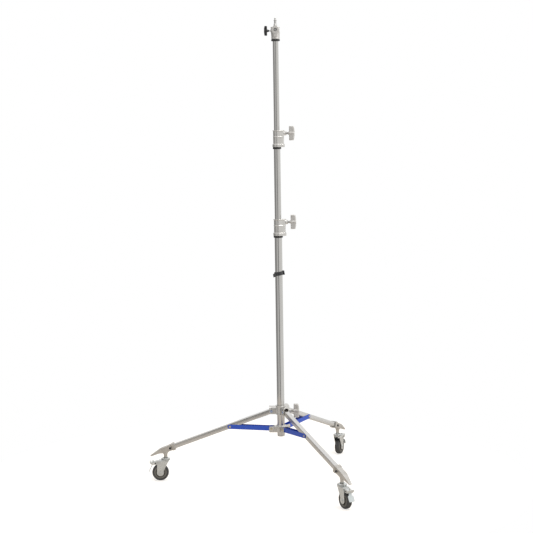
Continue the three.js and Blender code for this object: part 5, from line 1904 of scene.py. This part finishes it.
    def disc(self) -> Solid:
        """The wheel's centre: a bored boss, a thin web and a rim."""
        rim = self.rim
        half = self.wheel_width / 2
        side = [(4.4, half + 0.8), (9, half + 0.8), (12, half + 0.2), (16, 9), (17.5, 5), (25, 5),
            (26.2, half - 3), (27, half - 1.6), (rim - 3, half - 1.6), (rim - 2.4, half - 2.3),
            (rim, half - 2.3)]
        return self.both_sides(side, 0.6)

    def brake(self, works: Works, place: Place) -> None:
        """The brake: a channel arm on a pin with a shoe, a release pin, a pedal and its rivets."""
        n = self.number
        x = self.trail + self.brake_ahead
        z = self.brake_pin
        rider = Rider(f"brake_{n}", (f"brake_{n}",))
        make(f"brake_arm_{n}", self.brake_arm(x, z), place, ZINC, rider, bevel=0.35)
        make(f"brake_pedal_{n}", self.pedal(x, z), place, PEDAL, Rider(f"brake_{n}"), bevel=0.5)
        half = self.outside() + 1.5
        pin = lathe(rounded([(0, -half), (4, -half), (4, -half + 1.2), (2.5, -half + 1.3),
            (2.5, half - 1.3), (4, half - 1.2), (4, half), (0, half)], 0.3), 32)
        shoe = block((x + 9, -13, z - 5.5), (x + 19, 13, z + 4))
        make(f"brake_shoe_{n}", shoe, place, SHADOW, Rider(f"brake_{n}"), bevel=0.8)
        make(f"brake_pivot_{n}", pin.turned(90, "X").shifted(x=x, z=z), place, ZINC, Rider(f"brake_{n}"))
        plunger = lathe(rounded([(0, 2), (3.5, 2), (3.5, 18), (2.5, 20), (0, 20)], 0.6), 32)
        make(f"release_pin_{n}", plunger.shifted(x=x + 27, z=z), place, ZINC, Rider(f"brake_{n}"))
        spots = [Spot((x + 39.5, side * 9, z + 3.4), (0.35, 0, 0.94)) for side in (-1, 1)]
        works.fasten(f"pedal_rivets_{n}", domed_head(3.2, 2.4), spots, place, BRASS, Rider(f"brake_{n}"))

    def brake_arm(self, x: float, z: float) -> Solid:
        """The brake's arm, open below and pierced in its sides."""
        inside = self.wheel_width / 2 + 1.2
        side = [(-6, -1), (-2, -4.5), (8, -6), (32, -6), (42, 1), (45.5, 13), (42.5, 14), (38, 5.5),
            (4, 14), (-3, 12)]
        room = [(-12, -12), (32, -12), (33, -1), (30, 4), (4, 10.8), (-12, 9.4)]
        hole = rounded([(9, -1), (27, -1), (12, 6.5)], 1.5)
        arm = prism([(x + u, z + v) for u, v in rounded(side, 1.5)], -inside, inside, Axis.Y)
        tools = [
            prism([(x + u, z + v) for u, v in room], 2.0 - inside, inside - 2.0, Axis.Y),
            prism([(x + u, z + v) for u, v in hole], -inside - 1, inside + 1, Axis.Y),
        ]
        return combine(arm, tools)

    def pedal(self, x: float, z: float) -> Solid:
        """The pedal plate, cranked down from the arm's end."""
        path = [(29, -4), (33, -16), (43, -34), (49, -46), (51.5, -45), (45.5, -33), (36, -15), (33, -4)]
        plate = prism([(x + u, z + v) for u, v in rounded(path, 1.0)], -18, 18, Axis.Y)
        tread = prism(rectangle(16, 16, 9), x - 10, x + 80, Axis.X).shifted(z=z - 32)
        neck = prism(rectangle(8, 16, 1), x - 10, x + 80, Axis.X).shifted(z=z - 10)
        return combine(plate, [combine(tread, [neck], "UNION")], "INTERSECT")


# ---------------------------------------------------------------------------------------------- strap


@dataclass
class Strap:
    """The tape round the base tube, with its buckle and its loose tail."""

    inner: float = 20.3
    thickness: float = 2.2
    height: float = 20.0
    tilt: float = 9.0
    steps: int = 120

    def build(self, works: Works) -> None:
        """Build and dress the strap.

        Args:
            works: The stand's node trees.
        """
        low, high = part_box("cable_strap")
        place = Place.at(on_column(low.z + 0.016))
        leaning = Place(place.matrix @ Matrix.Rotation(math.radians(-self.tilt), 4, "Y"))
        rider = Rider("base", ("cable_strap",))
        make("tape_loop", self.loop(), leaning, TAPE, rider, bevel=0.4)
        make("tape_tail", self.tail(), leaning, TAPE, Rider("base"), bevel=0.4)
        make("tape_buckle", self.buckle(), leaning, BLACK, Rider("base"), bevel=0.6)
        stitch = lathe(rounded([(0, -1.3), (0.42, -1.3), (0.42, 1.3), (0, 1.3)], 0.3), 8).turned(90, "X")
        for name, z in (("upper", 7.6), ("lower", -7.6)):
            row = Place(leaning.matrix @ Matrix.Translation((0, 0, z)))
            works.ring(f"tape_stitches_{name}", stitch, 38, self.inner + self.thickness + 0.1, row, TAPE,
                Rider("base"))

    def band(self, path: Sequence[Point], height: Sequence[float], drop: Sequence[float],
        thickness: float) -> Solid:
        """A tape that stands on a path in plan.

        Args:
            path: The middle of the tape in plan.
            height: The tape's width at each point.
            drop: How far its middle is above z = 0 at each point.
            thickness: Its thickness.

        Returns:
            The tape.
        """
        corners: list[Vector] = []
        count = len(path)
        for i, point in enumerate(path):
            before, after = Vector(path[max(i - 1, 0)]), Vector(path[min(i + 1, count - 1)])
            side = Vector((after.y - before.y, before.x - after.x)).normalized() * (thickness / 2)
            for sign, up in ((1, -1), (1, 1), (-1, 1), (-1, -1)):
                x, y = Vector(point) + side * sign
                corners.append(Vector((x, y, drop[i] + up * height[i] / 2)))
        faces = [(0, 1, 2, 3), tuple(4 * (count - 1) + k for k in (3, 2, 1, 0))]
        for i in range(count - 1):
            faces += [(4 * i + k, 4 * i + (k + 1) % 4, 4 * i + 4 + (k + 1) % 4, 4 * i + 4 + k)
                for k in range(4)]
        return Solid(corners, faces)

    def loop(self) -> Solid:
        """The tape once round the tube, closing on itself."""
        inner, outer = self.inner, self.inner + self.thickness
        half = self.height / 2
        profile = rounded([(inner, -half), (outer, -half), (outer, half), (inner, half)], 0.5)
        return lathe(profile, self.steps)

    def tail(self) -> Solid:
        """The tape's loose end, lifting off the loop at its left and hanging a little."""
        radius = self.inner + 1.5 * self.thickness
        wrap = arc((0, 0), radius, 255, 190, 16)
        away = [(-25.8, -2.0), (-28.3, 2.0), (-31.4, 5.2)]
        path = [*wrap, *away]
        count = len(path)
        drop = [-9 * max(0.0, (i - 8) / (count - 9)) ** 2 for i in range(count)]
        height = [self.height - 2.0 * (i > count - 3) for i in range(count)]
        return self.band(path, height, drop, 1.8)

    def buckle(self) -> Solid:
        """The buckle's frame with its bar, standing off the tape at +x."""
        start = self.inner + self.thickness - 0.4
        body = prism(rectangle(7, 11.4, 2.0), start, start + 8.6, Axis.X)
        slots = [prism(rectangle(5.6, 2.6, 1.0), start + 2.2, start + 12, Axis.X).shifted(z=z)
            for z in (5.4, -5.4)]
        return combine(body, slots)


# ---------------------------------------------------------------------------------------------- stage


@dataclass
class Studio:
    """The camera, the floor and the light.

    Attributes:
        camera_from_column: The camera's place from the floor under the column, in metres.
        yaw: How far the camera looks left of straight back, in degrees.
        pitch: How far it looks down, in degrees.
        roll: How far it is rolled, in degrees.
        lens: Its focal length on a 36 mm sensor.
        panels: The tent's brightness round the stand, from the back over the left, the camera and the right.
        clip_end: How far the camera sees, in metres.
        overhead: The tent's brightness above.
        overhead_from: The upward part of a direction where the brightness above starts to count.
        overhead_full: The upward part where nothing else counts.
        floor_radius: The floor's radius in metres.
        floor_colour: Its colour.
        floor_glow: What it adds so that it looks white.
        floor_chords: How many chords its rim has.
        key_power: The right-hand lamp's power in watts.
        fill_power: The left-hand lamp's power in watts.
        lamp_size: Each lamp's side in metres.
        lamp_aside: How far each lamp is to its side, and in front.
        lamp_height: How high the lamps hang.
    """

    camera_from_column: tuple[float, float, float] = (0.1758, -6.9636, 1.8546)
    yaw: float = 1.98
    pitch: float = 5.75
    roll: float = -0.878
    lens: float = 89.14
    panels: Stops = (
        (0.0, 1.0), (0.08, 0.75), (0.17, 0.3), (0.29, 0.42), (0.39, 0.72), (0.45, 0.8), (0.475, 0.2),
        (0.505, 0.16),
        (0.53, 0.9), (0.65, 1.0), (0.75, 1.1), (0.85, 1.05), (1.0, 1.0),
    )

    clip_end: float = 100.0
    overhead: tuple[float, float, float] = (1.2, 1.2, 1.22)
    overhead_from: float = 0.35
    overhead_full: float = 0.8
    floor_radius: float = 1.5
    floor_colour: tuple[float, float, float, float] = (0.64, 0.595, 0.54, 1)
    floor_glow: float = 0.5
    floor_chords: int = 119
    key_power: float = 110.0
    fill_power: float = 6.0
    lamp_size: float = 2.4
    lamp_aside: float = 3.4
    lamp_height: float = 5.4

    def build(self) -> None:
        """Make the camera, the floor and the light."""
        self.camera()
        self.floor()
        self.world()
        self.lamps()

    def camera(self) -> None:
        """Make the camera."""
        data = bpy.data.cameras.new("camera")
        data.lens = self.lens
        data.sensor_width = 36
        data.dof.use_dof = False
        data.clip_end = self.clip_end
        yaw, pitch, roll = (math.radians(a) for a in (self.yaw, self.pitch, self.roll))
        ahead = Vector((-math.sin(yaw) * math.cos(pitch), math.cos(yaw) * math.cos(pitch), -math.sin(pitch)))
        level = Vector((math.cos(yaw), math.sin(yaw), 0))
        upright = level.cross(ahead)
        right = level * math.cos(roll) + upright * math.sin(roll)
        up = upright * math.cos(roll) - level * math.sin(roll)
        made = bpy.data.objects.new("camera", data)
        turn = Matrix((right, up, -ahead)).transposed().to_4x4()
        made.matrix_world = Matrix.Translation(on_column(0) + Vector(self.camera_from_column)) @ turn
        bpy.context.scene.collection.objects.link(made)
        bpy.context.scene.camera = made

    def floor(self) -> None:
        """Make the plain pale floor."""
        mesh = bpy.data.meshes.new("floor")
        last = 360 - 360 / (self.floor_chords + 1)
        rim = [(*point, 0.0) for point in arc((0, 0), self.floor_radius, 0, last, self.floor_chords)]
        mesh.from_pydata(rim, [], [tuple(range(len(rim)))])
        paint = bpy.data.materials.new("pale_floor")
        paint.use_nodes = True
        shader = paint.node_tree.nodes["Principled BSDF"]
        shader.inputs["Base Color"].default_value = self.floor_colour
        shader.inputs["Roughness"].default_value = 0.9
        shader.inputs["Specular IOR Level"].default_value = 0.1
        shader.inputs["Emission Color"].default_value = (1, 1, 1, 1)
        nodes, links = paint.node_tree.nodes, paint.node_tree.links
        seen = nodes.new("ShaderNodeLightPath")
        glow = nodes.new("ShaderNodeMath")
        glow.operation = "MULTIPLY"
        glow.inputs[1].default_value = self.floor_glow
        links.new(seen.outputs["Is Camera Ray"], glow.inputs[0])
        links.new(glow.outputs[0], shader.inputs["Emission Strength"])
        mesh.materials.append(paint)
        made = bpy.data.objects.new("floor", mesh)
        bpy.context.scene.collection.objects.link(made)

    def world(self) -> None:
        """Make the light tent: white to look at, with soft panels in front and above to reflect."""
        scene = bpy.context.scene
        scene.view_settings.view_transform = "Standard"
        scene.view_settings.look = "None"
        world = bpy.data.worlds.new("tent")
        scene.world = world
        world.use_nodes = True
        wiring = Wiring(world.node_tree, Grain.ROW)
        world.node_tree.nodes.clear()
        way = wiring.node("ShaderNodeTexCoord").outputs["Generated"]
        split = wiring.node("ShaderNodeSeparateXYZ", Vector=way).outputs
        angle = wiring.maths("ARCTAN2", split["X"], wiring.maths("MULTIPLY", split["Y"], -1.0))
        turn = wiring.maths("ADD", wiring.maths("DIVIDE", angle, math.tau), 0.5)
        above = wiring.ramp(split["Z"], [(self.overhead_from, 0.0), (self.overhead_full, 1.0)])
        tent = wiring.mix(above, wiring.ramp(turn, self.panels), self.overhead)
        seen = wiring.node("ShaderNodeLightPath").outputs["Is Camera Ray"]
        lit = wiring.node("ShaderNodeBackground", Strength=1.0, Color=(1, 1, 1, 1))
        wiring.tree.links.new(tent, lit.inputs["Color"])
        plain = wiring.node("ShaderNodeBackground", Strength=1.0, Color=(1, 1, 1, 1))
        mixed = wiring.node("ShaderNodeMixShader")
        wiring.tree.links.new(seen, mixed.inputs[0])
        wiring.tree.links.new(lit.outputs[0], mixed.inputs[1])
        wiring.tree.links.new(plain.outputs[0], mixed.inputs[2])
        output = wiring.node("ShaderNodeOutputWorld")
        wiring.tree.links.new(mixed.outputs[0], output.inputs["Surface"])

    def lamps(self) -> None:
        """Hang two large soft lamps, one each side of the camera."""
        lamps = (("key", self.lamp_aside, self.key_power), ("fill", -self.lamp_aside, self.fill_power))
        for name, x, power in lamps:
            data = bpy.data.lights.new(name, "AREA")
            data.energy = power
            data.size = self.lamp_size
            lamp = bpy.data.objects.new(name, data)
            place = Vector((x, -self.lamp_aside, self.lamp_height))
            aim = on_column(1.0) - place
            lamp.matrix_world = Matrix.Translation(place) @ aim.to_track_quat("-Z", "Y").to_matrix().to_4x4()
            bpy.context.scene.collection.objects.link(lamp)


def main() -> None:
    """Build the stand in order, from the stage to the last caster."""
    logging.basicConfig(level=logging.INFO, format="%(name)s: %(message)s")
    Studio().build()
    works = Works()
    Column().build()
    ClampCollar("base", "base", 40.0, 35.0).build()
    ClampCollar("riser", "riser_1", 35.0, 30.0).build()
    Head().build(works)
    Strap().build(works)
    Spiders().build(works)
    for number in (1, 2, 3):
        Leg(number).build(works)
        Caster(number).build(works)


if __name__ == "__main__":
    main()
